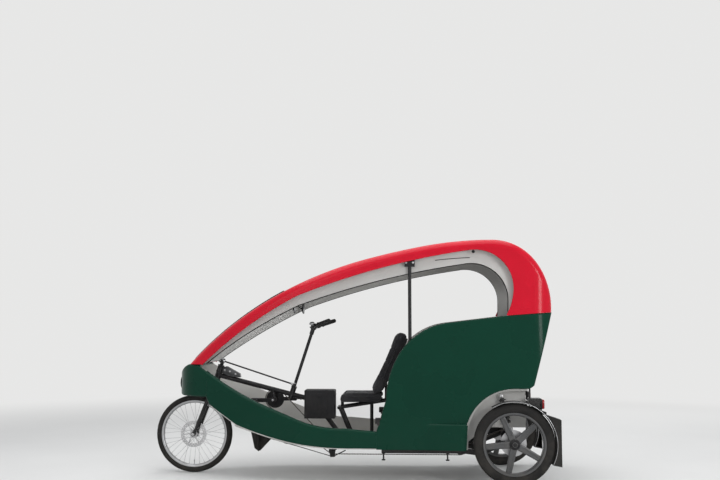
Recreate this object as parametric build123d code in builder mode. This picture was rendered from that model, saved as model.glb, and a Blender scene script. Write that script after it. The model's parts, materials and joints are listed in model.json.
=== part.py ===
"""Three-wheeled cycle rickshaw with a moulded cab, in millimetres.

+X points forwards, +Y to the vehicle's left and +Z up. The origin lies on the floor, under the
middle of the vehicle. Side outlines are drawn on the XZ plane, as pairs of (x, z).
"""
import os
from math import asin, cos, pi, radians, sin

from build123d import *

os.makedirs("parts", exist_ok=True)

SIDES = (("left", 1), ("right", -1))

# Clearances
SEAT_GAP = 0.3
RUNNING_GAP = 0.05

# Wheels and axles
FRONT_AXLE_X = 1247.0
FRONT_TYRE_R = 300.0
FRONT_RIM_R = 256.0
FRONT_TYRE_NECK = 17.8
BEAD_LIP = 4.0
REAR_AXLE_X = -1199.0
REAR_TYRE_R = 295.0
REAR_BEAD_R = 217.0
REAR_TYRE_NECK = 30.0
REAR_TYRE_HALF = 37.5
REAR_WHEEL_Y = 497.0
AXLE_R = 10.0
HALF_TRACK_OUT = 550.0
SPOKE_COUNT = 36
SPOKE_T = 2.2
CAST_SPOKES = 5
CAST_SPOKE_LEAN = 23.9
FENDER_GAP = 7.0
FENDER_T = 4.0
DISC_R = 101.5

# Steering: both axes lean back by the same angle, so the link keeps a parallelogram
STEER_TILT = 18.0
FORK_OFFSET = 30.0
STEER_ARM = 50.0
STEERER_R = 14.3
COLUMN_FOOT = (470.0, 640.0)
COLUMN_R = 12.5
BAR_R = 12.7
GRIP_BAR_R = 11.1
GRIP_LENGTH = 150.0

# Cab outline in plan
CAB_HALF = 450.0
CAB_STRAIGHT_X = 250.0
NOSE_SIDE = (1198.0, 240.0)
CAB_REAR_X = -1530.0
CAB_CORNER_R = 160.0

# Cab walls and heights
BODY_WALL = 25.0
SHELL_WALL = 8.0
SHELL_EDGE_R = 55.0
PANEL_EDGE_R = 20.0
REAR_EDGE_R = 12.0
RAIL_WALL = 28.0
FLOOR_Z = 242.0
FLOOR_T = 20.0
SILL_Z = 372.0
REAR_TOP_Z = 1245.0
SEAM_FRONT = (-1180.0, 1222.0)
CAB_BASE_Z = 242.0
NOSE_BASE_Z = 604.0
NOSE_TOP_Z = 849.0
NOSE_JOINT_X = 1100.0
FLARE_START_X = -560.0
FLARE_OUT = 45.0
FLARE_HEIGHT = 190.0
LAMP_Z = 700.0
LAMP_R = 45.0
REAR_JOINT_X = -200.0

# Canopy outline: arcs that run on into each other, both ways from the peak
PILLAR_WIDTH = 75.0
PANE_INSET = 58.0
SCREEN_BACK_X = 490.0
CANOPY_NOSE = (1250.0, 850.0)
CANOPY_BROW = (-140.0, 1649.0)
CANOPY_RISE = (-520.0, 1735.0)
CANOPY_PEAK = (-1065.0, 1787.0)
CANOPY_BEND = (-1395.0, 1615.0)
CANOPY_TAIL = (-1500.0, 1246.0)
CANOPY_FOOT_Z = 300.0

# Frame tubes
MAIN_TUBE_R = 22.0
SILL_TUBE_R = 20.0
SILL_TUBE_Y = 330.0
PIVOT = (-960.0, 208.0)
PIVOT_R = 18.0
POLE_X = -450.0
POLE_Y = 410.5
POLE_R = 13.0

# Drive
CRANK_CENTRE = (620.0, 567.0)
CRANK_LENGTH = 160.0
CHAINRING_R = 72.0
IDLER_CENTRE = (165.0, 165.0)
REAR_IDLER = (-840.0, 165.0)
IDLER_R = 20.0
SPROCKET_R = 42.0
CHAIN_T = 9.0
CHAIN_W = 8.0
CHAIN_Y = -62.0

tilt = radians(STEER_TILT)
steer_up = Vector(-sin(tilt), 0, cos(tilt))
steer_out = Vector(cos(tilt), 0, sin(tilt))
steer_foot = Vector(FRONT_AXLE_X, 0, FRONT_TYRE_R) - steer_out * FORK_OFFSET
column_foot = Vector(COLUMN_FOOT[0], 0, COLUMN_FOOT[1])

# Plan: a straight side, a long bow that leaves it smoothly, and a nose arc that leaves the bow
bow_run = NOSE_SIDE[0] - CAB_STRAIGHT_X
bow_drop = CAB_HALF - NOSE_SIDE[1]
BOW_R = (bow_run ** 2 + bow_drop ** 2) / (2 * bow_drop)
NOSE_R = NOSE_SIDE[1] * BOW_R / (BOW_R - bow_drop)
NOSE_TIP_X = NOSE_SIDE[0] + NOSE_R * (1 - bow_run / BOW_R)


def on_steer(height, side=0.0):
    """Point on the steering axis, height along it and side ahead of it."""
    return steer_foot + steer_up * height + steer_out * side


def on_column(height, side=0.0):
    """Point on the handlebar column's axis."""
    return column_foot + steer_up * height + steer_out * side


def tube(start, end, radius):
    """Round bar between two points."""
    run = Vector(*end) - Vector(*start)
    return Plane(origin=start, z_dir=run) * Cylinder(
        radius, run.length, align=(Align.CENTER, Align.CENTER, Align.MIN), mode=Mode.PRIVATE)


def plan_line():
    """Cab outline seen from above, drawn in the active line builder."""
    rear = (CAB_REAR_X, CAB_HALF)
    straight = (CAB_STRAIGHT_X, CAB_HALF)
    half = bow_run / 2
    bow = (CAB_STRAIGHT_X + half, CAB_HALF - BOW_R + (BOW_R ** 2 - half ** 2) ** 0.5)
    Polyline((CAB_REAR_X, 0), rear, straight)
    ThreePointArc(straight, bow, NOSE_SIDE)
    ThreePointArc(NOSE_SIDE, (NOSE_TIP_X, 0), (NOSE_SIDE[0], -NOSE_SIDE[1]))
    ThreePointArc((NOSE_SIDE[0], -NOSE_SIDE[1]), (bow[0], -bow[1]), (CAB_STRAIGHT_X, -CAB_HALF))
    Polyline((CAB_STRAIGHT_X, -CAB_HALF), (CAB_REAR_X, -CAB_HALF), (CAB_REAR_X, 0))


def plan_block(inset, low, high):
    """Upright block with the cab's plan outline, pulled in by inset."""
    with BuildPart() as block:
        with BuildSketch(Plane.XY.offset(low)) as outline:
            with BuildLine():
                plan_line()
            make_face()
            corners = outline.vertices().group_by(Axis.X)[0]
            fillet(corners.filter_by(lambda v: abs(v.Y) > 1), CAB_CORNER_R)
            if inset > 0:
                offset(amount=-inset)
        extrude(amount=high - low)
    return block.part


def run_out(end, heading):
    """Where a canopy line that is carried straight on from its end reaches the canopy's foot."""
    reach = (end[1] - CANOPY_FOOT_Z) / -heading.Y
    return end[0] + heading.X * reach, CANOPY_FOOT_Z


def canopy_line():
    """Side outline of the canopy, drawn in the active line builder."""
    rise = TangentArc(CANOPY_PEAK, CANOPY_RISE, tangent=(1, 0))
    brow = TangentArc(CANOPY_RISE, CANOPY_BROW, tangent=rise % 1)
    nose = TangentArc(CANOPY_BROW, CANOPY_NOSE, tangent=brow % 1)
    bend = TangentArc(CANOPY_PEAK, CANOPY_BEND, tangent=(-1, 0))
    tail = TangentArc(CANOPY_BEND, CANOPY_TAIL, tangent=bend % 1)
    Polyline(CANOPY_NOSE, run_out(CANOPY_NOSE, nose % 1), run_out(CANOPY_TAIL, tail % 1), CANOPY_TAIL)


def rim_of(faces):
    """Edges of faces that run along the vehicle, left out where they run straight up or across it."""
    edges = {}
    for edge in faces.edges():
        start, end = edge @ 0, edge @ 1
        across = abs(start.X - end.X) < 0.01 and abs(start.Z - end.Z) < 0.01
        upright = abs((edge % 0.5).Z) > 0.999
        if not across and not upright:
            edges[tuple(round(value, 3) for value in edge @ 0.5)] = edge
    return ShapeList(edges[centre] for centre in sorted(edges))


def canopy_block(inset, side_inset, edge_r=0.0):
    """Everything under the canopy's top line and within the cab's plan, its upper edges rounded."""
    with BuildPart() as block:
        with BuildSketch(Plane.XZ):
            with BuildLine():
                canopy_line()
            make_face()
            offset(amount=-inset)
        extrude(amount=CAB_HALF + 50, both=True)
        add(plan_block(side_inset, CANOPY_FOOT_Z + 20, 1900), mode=Mode.INTERSECT)
        if edge_r > 0:
            tops = block.faces().filter_by(lambda face: abs(face.normal_at().Y) < 0.001)
            fillet(rim_of(tops.filter_by(lambda face: face.normal_at().Z > -0.5)), edge_r)
    return block.part


def side_prism(draw, half):
    """Side outline extruded to both sides of the middle plane."""
    with BuildPart() as prism:
        with BuildSketch(Plane.XZ):
            with BuildLine():
                draw()
            make_face()
        extrude(amount=half, both=True)
    return prism.part


def seam_height(x):
    """Height of the seam between the rear body and the canopy."""
    return REAR_TOP_Z + (x - CANOPY_TAIL[0]) * (SEAM_FRONT[1] - REAR_TOP_Z) / (SEAM_FRONT[0] - CANOPY_TAIL[0])


def below_lip():
    """Space under the red shell's lower lip."""
    lip_front = (1140, 850)
    lip_brow = (391, 1373)
    lip_peak = (-900, 1712)
    lip_back = (-1220, 1425)
    lip_tail = (-1166, seam_height(-1166) + SEAT_GAP)
    ThreePointArc(lip_front, (800, 1125), lip_brow)
    ThreePointArc(lip_brow, (-240, 1580), lip_peak)
    ThreePointArc(lip_peak, (-1150, 1615), lip_back)
    ThreePointArc(lip_back, (-1208, 1330), lip_tail)
    Polyline(lip_tail, (-1600, seam_height(-1600) + SEAT_GAP), (-1600, 100), (1400, 100), (1400, 850),
             lip_front)


def below_rail():
    """Space under the inner rail's lower edge."""
    rail_front = (1113, 856)
    rail_brow = (379, 1300)
    rail_peak = (-850, 1604)
    rail_back = (-1179, 1366)
    rail_tail = (-1175, seam_height(-1175) + SEAT_GAP)
    ThreePointArc(rail_front, (760, 1098), rail_brow)
    ThreePointArc(rail_brow, (-160, 1466), rail_peak)
    ThreePointArc(rail_peak, (-1085, 1545), rail_back)
    Polyline(rail_back, rail_tail, (-1600, seam_height(-1600) + SEAT_GAP), (-1600, 100), (1400, 100),
             (1400, 856), rail_front)


def screen_block(inset):
    """Space of the windscreen's opening, inset from the cab's plan."""
    with BuildPart() as block:
        add(plan_block(inset, 800, 1900))
        with Locations((SCREEN_BACK_X + 400, 0, 1300)):
            Box(800, 1000, 1200, mode=Mode.INTERSECT)
    return block.part


def rear_gap():
    """Side outline of the rear window's opening."""
    Polyline((-1230, 1600), (-1230, 1900), (-1700, 1900), (-1700, 1330), (-1350, 1330), (-1230, 1600))


# Canopy
with BuildPart() as roof_shell:
    add(canopy_block(0, 0, SHELL_EDGE_R))
    add(canopy_block(SHELL_WALL, SHELL_WALL, SHELL_EDGE_R - SHELL_WALL), mode=Mode.SUBTRACT)
    add(side_prism(below_lip, CAB_HALF + 60), mode=Mode.SUBTRACT)
    add(screen_block(PILLAR_WIDTH), mode=Mode.SUBTRACT)
    add(side_prism(rear_gap, 300), mode=Mode.SUBTRACT)
roof_shell.part.label = "roof_shell"
export_step(roof_shell.part, "parts/roof_shell.step")

LINER_GAP = SHELL_WALL + SEAT_GAP
RAIL_INSET = CAB_HALF - POLE_Y + POLE_R + SEAT_GAP
with BuildPart() as roof_liner:
    add(canopy_block(LINER_GAP, RAIL_INSET))
    add(canopy_block(LINER_GAP + 6, RAIL_INSET + RAIL_WALL), mode=Mode.SUBTRACT)
    add(side_prism(below_rail, CAB_HALF + 60), mode=Mode.SUBTRACT)
    add(screen_block(RAIL_INSET + RAIL_WALL), mode=Mode.SUBTRACT)
    add(side_prism(rear_gap, 300), mode=Mode.SUBTRACT)
roof_liner.part.label = "roof_liner"
export_step(roof_liner.part, "parts/roof_liner.step")

SCREEN_T = 4.0
SCREEN_RISE = 0.3


def pane_skin():
    """Sheet that lies on the shell between its rounded edges, for both panes."""
    with BuildPart() as skin:
        add(canopy_block(-SCREEN_RISE - SCREEN_T, PANE_INSET))
        add(canopy_block(-SCREEN_RISE, PANE_INSET - 8), mode=Mode.SUBTRACT)
    return skin.part


with BuildPart() as windscreen:
    add(pane_skin())
    with Locations((865, 0, 1250)):
        Box(730, 1000, 760, mode=Mode.INTERSECT)
windscreen.part.label = "windscreen"
export_step(windscreen.part, "parts/windscreen.step")

with BuildPart() as rear_window:
    add(pane_skin())
    with Locations((-1400, 0, 1570)):
        Box(400, 640, 540, mode=Mode.INTERSECT)
rear_window.part.label = "rear_window"
export_step(rear_window.part, "parts/rear_window.step")


# Lower body
def low_line():
    """Side outline of the nose, low side panels and the base of the rear body."""
    nose_front = NOSE_TIP_X + 20
    keel_foot = (34, CAB_BASE_Z)
    chin = (533, 303)
    jaw = (850, 399)
    crest = (1165, NOSE_TOP_Z)
    waist = (576, 532)
    Line((REAR_JOINT_X, CAB_BASE_Z), keel_foot)
    keel = TangentArc(keel_foot, chin, tangent=(1, 0))
    TangentArc(chin, jaw, tangent=keel % 1)
    Polyline(jaw, (1070, 540), (1104, NOSE_BASE_Z), (nose_front, NOSE_BASE_Z), (nose_front, 690))
    ThreePointArc((nose_front, 690), (NOSE_TIP_X - 18, 790), (NOSE_TIP_X - 96, NOSE_TOP_Z))
    Line((NOSE_TIP_X - 96, NOSE_TOP_Z), crest)
    ThreePointArc(crest, (900, 682), waist)
    Line(waist, (342, 438))
    ThreePointArc((342, 438), (200, 403), (43, 393))
    Polyline((43, 393), (REAR_JOINT_X, SILL_Z), (REAR_JOINT_X, CAB_BASE_Z))


with BuildPart() as low_band:
    add(side_prism(low_line, CAB_HALF + 50))
    add(plan_block(0, 200, 900), mode=Mode.INTERSECT)
    walls = low_band.faces().filter_by(lambda face: abs(face.normal_at().Z) < 0.001)
    fillet(rim_of(walls.filter_by(lambda face: abs(face.normal_at().Y) > 0.001 or not face.is_planar)),
           PANEL_EDGE_R)

with BuildPart() as nose_cowl:
    add(low_band.part)
    with Locations((NOSE_JOINT_X + 500, 0, 700)):
        Box(1000, 1000, 1000, mode=Mode.INTERSECT)
    add(plan_block(10, 200, NOSE_TOP_Z - 10), mode=Mode.SUBTRACT)
    add(tube((NOSE_TIP_X - 60, 0, LAMP_Z), (NOSE_TIP_X + 30, 0, LAMP_Z), LAMP_R + SEAT_GAP),
        mode=Mode.SUBTRACT)
nose_cowl.part.label = "nose_cowl"
export_step(nose_cowl.part, "parts/nose_cowl.step")

# The right side panel is the left one mirrored
with BuildPart() as left_panel:
    add(low_band.part)
    with Locations((NOSE_JOINT_X - 1000 - SEAT_GAP, 500, 600)):
        Box(2000, 1000, 900, mode=Mode.INTERSECT)
    add(plan_block(BODY_WALL, 200, 900), mode=Mode.SUBTRACT)

for side, sign in SIDES:
    with BuildPart() as side_panel:
        add(left_panel.part)
        if sign < 0:
            mirror(about=Plane.XZ, mode=Mode.REPLACE)
    side_panel.part.label = "side_panel_" + side
    export_step(side_panel.part, "parts/side_panel_" + side + ".step")


def rear_line():
    """Side outline of the rear body."""
    foot = (REAR_JOINT_X - SEAT_GAP, CAB_BASE_Z)
    Polyline(foot, (foot[0], SILL_Z), (-272, 600))
    ThreePointArc((-272, 600), (-302, 790), (-380, 955))
    ThreePointArc((-380, 955), (-530, 1098), (-739, 1170))
    Polyline((-739, 1170), SEAM_FRONT, (-1500, REAR_TOP_Z), (-1358, 712), (-1330, 692), (-1199, 692))
    ThreePointArc((-1199, 692), (-972, 602), (-862, 430))
    Polyline((-862, 430), (-850, CAB_BASE_Z), foot)


def rear_room():
    """Side outline of the hollow inside the rear body."""
    back_top = (-1500 + BODY_WALL, 1400)
    Polyline((200, 100), (200, 1400), back_top, (-1500 + BODY_WALL, REAR_TOP_Z),
             (-1345 + BODY_WALL, 712), (-1345 + BODY_WALL, 100), (200, 100))


def rear_hollow():
    """Hollow inside the rear body."""
    with BuildPart() as room:
        add(side_prism(rear_room, CAB_HALF + 50))
        add(plan_block(BODY_WALL, 50, 1500), mode=Mode.INTERSECT)
    return room.part


# Flares that widen the body towards the rear wheels
with BuildPart() as flares:
    for side, sign in SIDES:
        root = sign * (CAB_HALF - BODY_WALL / 2)
        with BuildSketch(Plane.XY.offset(CAB_BASE_Z)):
            with BuildLine():
                Polyline((FLARE_START_X, root), (FLARE_START_X, sign * CAB_HALF),
                         (-900, sign * (CAB_HALF + FLARE_OUT)), (-900, root), (FLARE_START_X, root))
            make_face()
        extrude(amount=FLARE_HEIGHT)
    slopes = flares.faces().filter_by(lambda face: abs(face.normal_at().X) > 0.01 and abs(face.normal_at().Y) > 0.5)
    fillet(slopes.edges().group_by(Axis.Z)[-1], 14)
    add(side_prism(rear_line, CAB_HALF + 60), mode=Mode.INTERSECT)

with BuildPart() as rear_body:
    add(side_prism(rear_line, CAB_HALF + 50))
    add(plan_block(0, 200, 1400), mode=Mode.INTERSECT)
    add(rear_hollow(), mode=Mode.SUBTRACT)
    sides = rear_body.faces().filter_by(lambda face: abs(face.normal_at().Z) < 0.001 and abs(face.normal_at().Y) > 0.5)
    outer = rim_of(sides).filter_by(lambda edge: abs((edge @ 0.5).Y) > CAB_HALF - BODY_WALL + 1)
    outer = outer.filter_by(lambda edge: (edge @ 0.5).X > -840 or (edge @ 0.5).Z > 720)
    outer = outer.filter_by(lambda edge: (edge @ 0.5).Z > CAB_BASE_Z + 1)
    fillet(outer.filter_by(lambda edge: (edge @ 0.5).Z < 1165 or (edge @ 0.5).X > -739), REAR_EDGE_R)
    add(flares.part)
rear_body.part.label = "rear_body"
export_step(rear_body.part, "parts/rear_body.step")


def floor_line():
    """Side outline of the floor pan with its rising front."""
    top = FLOOR_Z + FLOOR_T
    Polyline((-845, FLOOR_Z), (34, FLOOR_Z))
    ThreePointArc((34, FLOOR_Z), (302, 256), (533, 296))
    Polyline((533, 296), (860, 392), (960, 560), (940, 572), (845, 412), (527, 316))
    ThreePointArc((527, 316), (300, 276), (34, top))
    Polyline((34, top), (-845, top), (-845, FLOOR_Z))


with BuildPart() as floor_pan:
    add(side_prism(floor_line, CAB_HALF + 50))
    add(plan_block(BODY_WALL + SEAT_GAP, 100, 900), mode=Mode.INTERSECT)
    with Locations((82, 0, 260)):
        Box(110, 60, 120, mode=Mode.SUBTRACT)
    with Locations((310, CHAIN_Y, 280)):
        Box(230, 40, 160, mode=Mode.SUBTRACT)
floor_pan.part.label = "floor_pan"
export_step(floor_pan.part, "parts/floor_pan.step")

# Wheel arch liners and bench box
ARCH_WIDTH = 59.4
BENCH_HALF = CAB_HALF - BODY_WALL - ARCH_WIDTH - 2 * SEAT_GAP
BENCH_WALL = 15.0
BENCH_TOP_Z = 700.0
CUSHION_GAP = 27.0
ARCH_TOP = 691.7
with BuildPart() as wheel_arches:
    for side, sign in SIDES:
        with BuildSketch(Plane.XZ.offset(-sign * (BENCH_HALF + SEAT_GAP + ARCH_WIDTH / 2))):
            with BuildLine():
                ThreePointArc((-1199, ARCH_TOP), (-972.2, 601.7), (-862.3, 429.8))
                Polyline((-862.3, 429.8), (-850.3, CAB_BASE_Z), (-870, CAB_BASE_Z), (-882, 425))
                ThreePointArc((-882, 425), (-986, 588), (-1199, 672))
                Polyline((-1199, 672), (-1310, 672), (-1310, ARCH_TOP), (-1199, ARCH_TOP))
            make_face()
        extrude(amount=ARCH_WIDTH / 2, both=True)
wheel_arches.part.label = "wheel_arches"
export_step(wheel_arches.part, "parts/wheel_arches.step")


def bench_line():
    """Side outline of the bench box between the wheels."""
    Polyline((-620, FLOOR_Z + FLOOR_T + SEAT_GAP), (-620, BENCH_TOP_Z), (-1300, BENCH_TOP_Z), (-1300, 400),
             (-1000, 400), (-840, 262.3), (-620, FLOOR_Z + FLOOR_T + SEAT_GAP))


def bench_room_line():
    """Side outline of the hollow under the bench."""
    front = -620 - BENCH_WALL
    back = -1300 + BENCH_WALL
    top = BENCH_TOP_Z - BENCH_WALL
    Polyline((front, 250), (front, top), (back, top), (back, 250), (front, 250))


with BuildPart() as bench_box:
    add(side_prism(bench_line, BENCH_HALF))
    add(side_prism(bench_room_line, BENCH_HALF - BENCH_WALL), mode=Mode.SUBTRACT)
bench_box.part.label = "bench_box"
export_step(bench_box.part, "parts/bench_box.step")

with BuildPart() as bench_cushion:
    with Locations((-870, 0, BENCH_TOP_Z + SEAT_GAP + 45)):
        Box(480, 2 * (CAB_HALF - BODY_WALL - CUSHION_GAP), 90)
    fillet(bench_cushion.edges(), 18)
bench_cushion.part.label = "bench_cushion"
export_step(bench_cushion.part, "parts/bench_cushion.step")

with BuildPart() as bench_back:
    with BuildSketch(Plane.XZ):
        with BuildLine():
            foot_z = BENCH_TOP_Z + SEAT_GAP
            Polyline((-1115, foot_z), (-1200, foot_z), (-1360, 1190), (-1275, 1215), (-1115, foot_z))
        make_face()
    extrude(amount=CAB_HALF - BODY_WALL - CUSHION_GAP, both=True)
    fillet(bench_back.edges().filter_by(Axis.Y), 18)
bench_back.part.label = "bench_back"
export_step(bench_back.part, "parts/bench_back.step")


# Poles between the rear body and the canopy rails
with BuildPart() as poles:
    for side, sign in SIDES:
        add(tube((POLE_X, sign * POLE_Y, 960), (POLE_X, sign * POLE_Y, 1648), POLE_R))
        with Locations((POLE_X, sign * (CAB_HALF - BODY_WALL - SEAT_GAP - 8), 975)):
            Box(60, 16, 30)
        with Locations((POLE_X, sign * POLE_Y, 1615)):
            Box(76, 2 * POLE_R, 60)
poles.part.label = "poles"
export_step(poles.part, "parts/poles.step")


def pipe_run(points, radius):
    """Bent tube through points, with a ball at each bend."""
    bars = [tube(a, b, radius) for a, b in zip(points, points[1:])]
    balls = [Pos(*p) * Sphere(radius, mode=Mode.PRIVATE) for p in points[1:-1]]
    return bars + balls


def drill(start, end, radius):
    """Subtract a round bore between two points from the active part."""
    add(tube(start, end, radius), mode=Mode.SUBTRACT)


# Frame: head tube, main tube, sill tubes, pivot tube, crank shell and column bearing
HEAD_LOW = 420.0
HEAD_HIGH = 560.0
HEAD_R = 24.0
BEARING_LOW = -70.0
BEARING_HIGH = 20.0
BEARING_R = 21.0
CRANK_SHELL_R = 22.0
CRANK_SHELL_HALF = 36.0
SPINDLE_R = 9.0
SILL_TUBE_Z = FLOOR_Z - SEAT_GAP - SILL_TUBE_R

with BuildPart() as main_frame:
    head = on_steer((HEAD_LOW + HEAD_HIGH) / 2)
    main_path = [head, (300, 0, 562), (122, 0, 330), (60, 0, SILL_TUBE_Z), (-858, 0, SILL_TUBE_Z),
                 (PIVOT[0], 0, PIVOT[1])]
    for bar in pipe_run(main_path, MAIN_TUBE_R - 3):
        add(bar)
    add(tube(on_steer(HEAD_LOW), on_steer(HEAD_HIGH), HEAD_R))
    add(tube(on_column(BEARING_LOW), on_column(BEARING_HIGH), BEARING_R))
    add(tube((PIVOT[0], -345, PIVOT[1]), (PIVOT[0], 345, PIVOT[1]), PIVOT_R))
    for x in (-250, -780):
        add(tube((x, -SILL_TUBE_Y, SILL_TUBE_Z), (x, SILL_TUBE_Y, SILL_TUBE_Z), 15))
    for side, sign in SIDES:
        y = sign * SILL_TUBE_Y
        sill_path = [(-235, y, SILL_TUBE_Z), (-858, y, SILL_TUBE_Z), (PIVOT[0], y, PIVOT[1])]
        for bar in pipe_run(sill_path, SILL_TUBE_R):
            add(bar)
    crank_x, crank_z = CRANK_CENTRE
    add(tube((crank_x, -CRANK_SHELL_HALF, crank_z), (crank_x, CRANK_SHELL_HALF, crank_z),
             CRANK_SHELL_R))
    add(tube((crank_x, 0, crank_z), (crank_x + 12, 0, crank_z + 78), 14))
    drill(on_steer(HEAD_LOW - 20), on_steer(HEAD_HIGH + 20), STEERER_R + RUNNING_GAP)
    drill(on_column(BEARING_LOW + 12), on_column(BEARING_HIGH + 20), COLUMN_R + RUNNING_GAP)
    drill((crank_x, -50, crank_z), (crank_x, 50, crank_z), SPINDLE_R + RUNNING_GAP)
    for x, z in (IDLER_CENTRE, REAR_IDLER):
        add(tube((x, CHAIN_Y - 8, z), (x, CHAIN_Y + 14, z), IDLER_R))
        add(tube((x, CHAIN_Y + 10, z), (min(x, 60), 0, SILL_TUBE_Z), 8))
main_frame.part.label = "main_frame"
export_step(main_frame.part, "parts/main_frame.step")

# Rear axle with its trailing arms and stub axles
BEAM_R = 22.0
BEAM_HALF = 405.0
ARM_Y = 290.0
EYE_R = 30.0
with BuildPart() as rear_axle:
    add(tube((REAR_AXLE_X, -BEAM_HALF, REAR_TYRE_R), (REAR_AXLE_X, BEAM_HALF, REAR_TYRE_R), BEAM_R))
    add(tube((REAR_AXLE_X, -HALF_TRACK_OUT + 12, REAR_TYRE_R),
             (REAR_AXLE_X, HALF_TRACK_OUT - 12, REAR_TYRE_R), AXLE_R))
    for side, sign in SIDES:
        y = sign * ARM_Y
        add(tube((PIVOT[0], y - 15, PIVOT[1]), (PIVOT[0], y + 15, PIVOT[1]), EYE_R))
        with BuildSketch(Plane.XZ.offset(-y)):
            with BuildLine():
                Polyline((PIVOT[0] - 10, PIVOT[1] + 24), (REAR_AXLE_X, REAR_TYRE_R + 20),
                         (REAR_AXLE_X, REAR_TYRE_R - 20), (PIVOT[0] - 10, PIVOT[1] - 24),
                         (PIVOT[0] - 10, PIVOT[1] + 24))
            make_face()
        extrude(amount=8, both=True)
    drill((PIVOT[0], -400, PIVOT[1]), (PIVOT[0], 400, PIVOT[1]), PIVOT_R + SEAT_GAP)
    add(tube((REAR_AXLE_X, CHAIN_Y - 3, REAR_TYRE_R), (REAR_AXLE_X, CHAIN_Y + 3, REAR_TYRE_R),
             SPROCKET_R - 1))
    for side, sign in SIDES:
        with Locations((REAR_AXLE_X + 39, sign * 415.8, REAR_TYRE_R - 3)):
            Box(130, 21.8, 45)
rear_axle.part.label = "rear_axle"
export_step(rear_axle.part, "parts/rear_axle.step")

DAMPER_Y = 394.0
with BuildPart() as rear_dampers:
    for side, sign in SIDES:
        y = sign * DAMPER_Y
        top = (-1120, y, 636)
        foot = (REAR_AXLE_X + 11.2, y, REAR_TYRE_R + 20.3)
        add(tube(foot, top, 8))
        add(tube((-1148, y, 455), (-1124, y, 615), 16))
        add(tube((-1120, sign * (BENCH_HALF + SEAT_GAP), 630), (-1120, y, 630), 7))
rear_dampers.part.label = "rear_dampers"
export_step(rear_dampers.part, "parts/rear_dampers.step")


# Wheels: sections are drawn as (y, z) in the wheel's middle plane and spun about its axle
def spun(draw, axle_x, axle_z, wheel_y=0.0):
    """Solid of revolution about an axle along Y; the section is drawn as (radius, y)."""
    with BuildPart() as body:
        with BuildSketch(Plane(origin=(axle_x, wheel_y, axle_z), x_dir=(0, 0, 1), z_dir=(-1, 0, 0))):
            with BuildLine():
                draw()
            make_face()
        revolve(axis=Axis((axle_x, wheel_y, axle_z), (0, 1, 0)))
    return body.part


def front_tyre_section():
    """Round bicycle tyre on its bead, its arc in six chords."""
    neck = FRONT_TYRE_NECK
    foot = FRONT_RIM_R + BEAD_LIP
    height = FRONT_TYRE_R - foot
    arc_r = (neck ** 2 + height ** 2) / (2 * height)
    middle = FRONT_TYRE_R - arc_r
    reach = pi - asin(neck / arc_r)
    turns = [reach * step / 3 for step in range(-2, 3)]
    crown = [(middle + arc_r * cos(turn), -arc_r * sin(turn)) for turn in turns]
    Polyline((foot, -neck), (FRONT_RIM_R, -neck), (FRONT_RIM_R, neck), (foot, neck), *crown,
             (foot, -neck))


def front_rim_section():
    """Box rim with two flanges."""
    seat = FRONT_RIM_R - SEAT_GAP
    inner = FRONT_TYRE_NECK + SEAT_GAP
    outer = inner + 2.7
    Polyline((seat, -inner), (seat + 3, -inner), (seat + 3, -outer), (seat - 8, -outer + 1),
             (seat - 18, -9), (seat - 18, 9), (seat - 8, outer - 1), (seat + 3, outer),
             (seat + 3, inner), (seat, inner), (seat, -inner))


def front_hub_section():
    """Spool hub with two spoke flanges."""
    bore = AXLE_R - 4 + RUNNING_GAP
    Polyline((bore, -36), (15, -36), (15, -31), (29, -30), (29, -27), (14, -24), (14, 24), (29, 27),
             (29, 30), (15, 31), (15, 37.7), (bore, 37.7), (bore, -36))


with BuildPart() as front_tyre:
    add(spun(front_tyre_section, FRONT_AXLE_X, FRONT_TYRE_R))
front_tyre.part.label = "front_tyre"
export_step(front_tyre.part, "parts/front_tyre.step")

with BuildPart() as front_rim:
    add(spun(front_rim_section, FRONT_AXLE_X, FRONT_TYRE_R))
    add(spun(front_hub_section, FRONT_AXLE_X, FRONT_TYRE_R))
    spokes = []
    for index in range(SPOKE_COUNT):
        turn = 2 * pi * index / SPOKE_COUNT
        flange = 28.5 if index % 2 else -28.5
        lead = radians(62) if index % 4 < 2 else -radians(62)
        hub_r = 26
        rim_r = FRONT_RIM_R - 14
        foot = Vector(FRONT_AXLE_X + hub_r * cos(turn + lead), flange,
                      FRONT_TYRE_R + hub_r * sin(turn + lead))
        head = Vector(FRONT_AXLE_X + rim_r * cos(turn), flange / 8, FRONT_TYRE_R + rim_r * sin(turn))
        spokes.append(Plane(origin=foot, z_dir=head - foot) * Box(
            SPOKE_T, SPOKE_T, (head - foot).length, align=(Align.CENTER, Align.CENTER, Align.MIN),
            mode=Mode.PRIVATE))
    add(spokes)
front_rim.part.label = "front_rim"
export_step(front_rim.part, "parts/front_rim.step")


def front_disc_section():
    """Brake rotor ring with its carrier."""
    Polyline((15.2, 38), (DISC_R, 38), (DISC_R, 40), (15.2, 40), (15.2, 38))


with BuildPart() as front_disc:
    add(spun(front_disc_section, FRONT_AXLE_X, FRONT_TYRE_R))
    with BuildSketch(Plane.XZ.offset(-60)):
        with Locations((FRONT_AXLE_X, FRONT_TYRE_R)):
            with PolarLocations(62, 6):
                SlotOverall(42, 20, rotation=90)
    extrude(amount=60, mode=Mode.SUBTRACT)
front_disc.part.label = "front_disc"
export_step(front_disc.part, "parts/front_disc.step")

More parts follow.
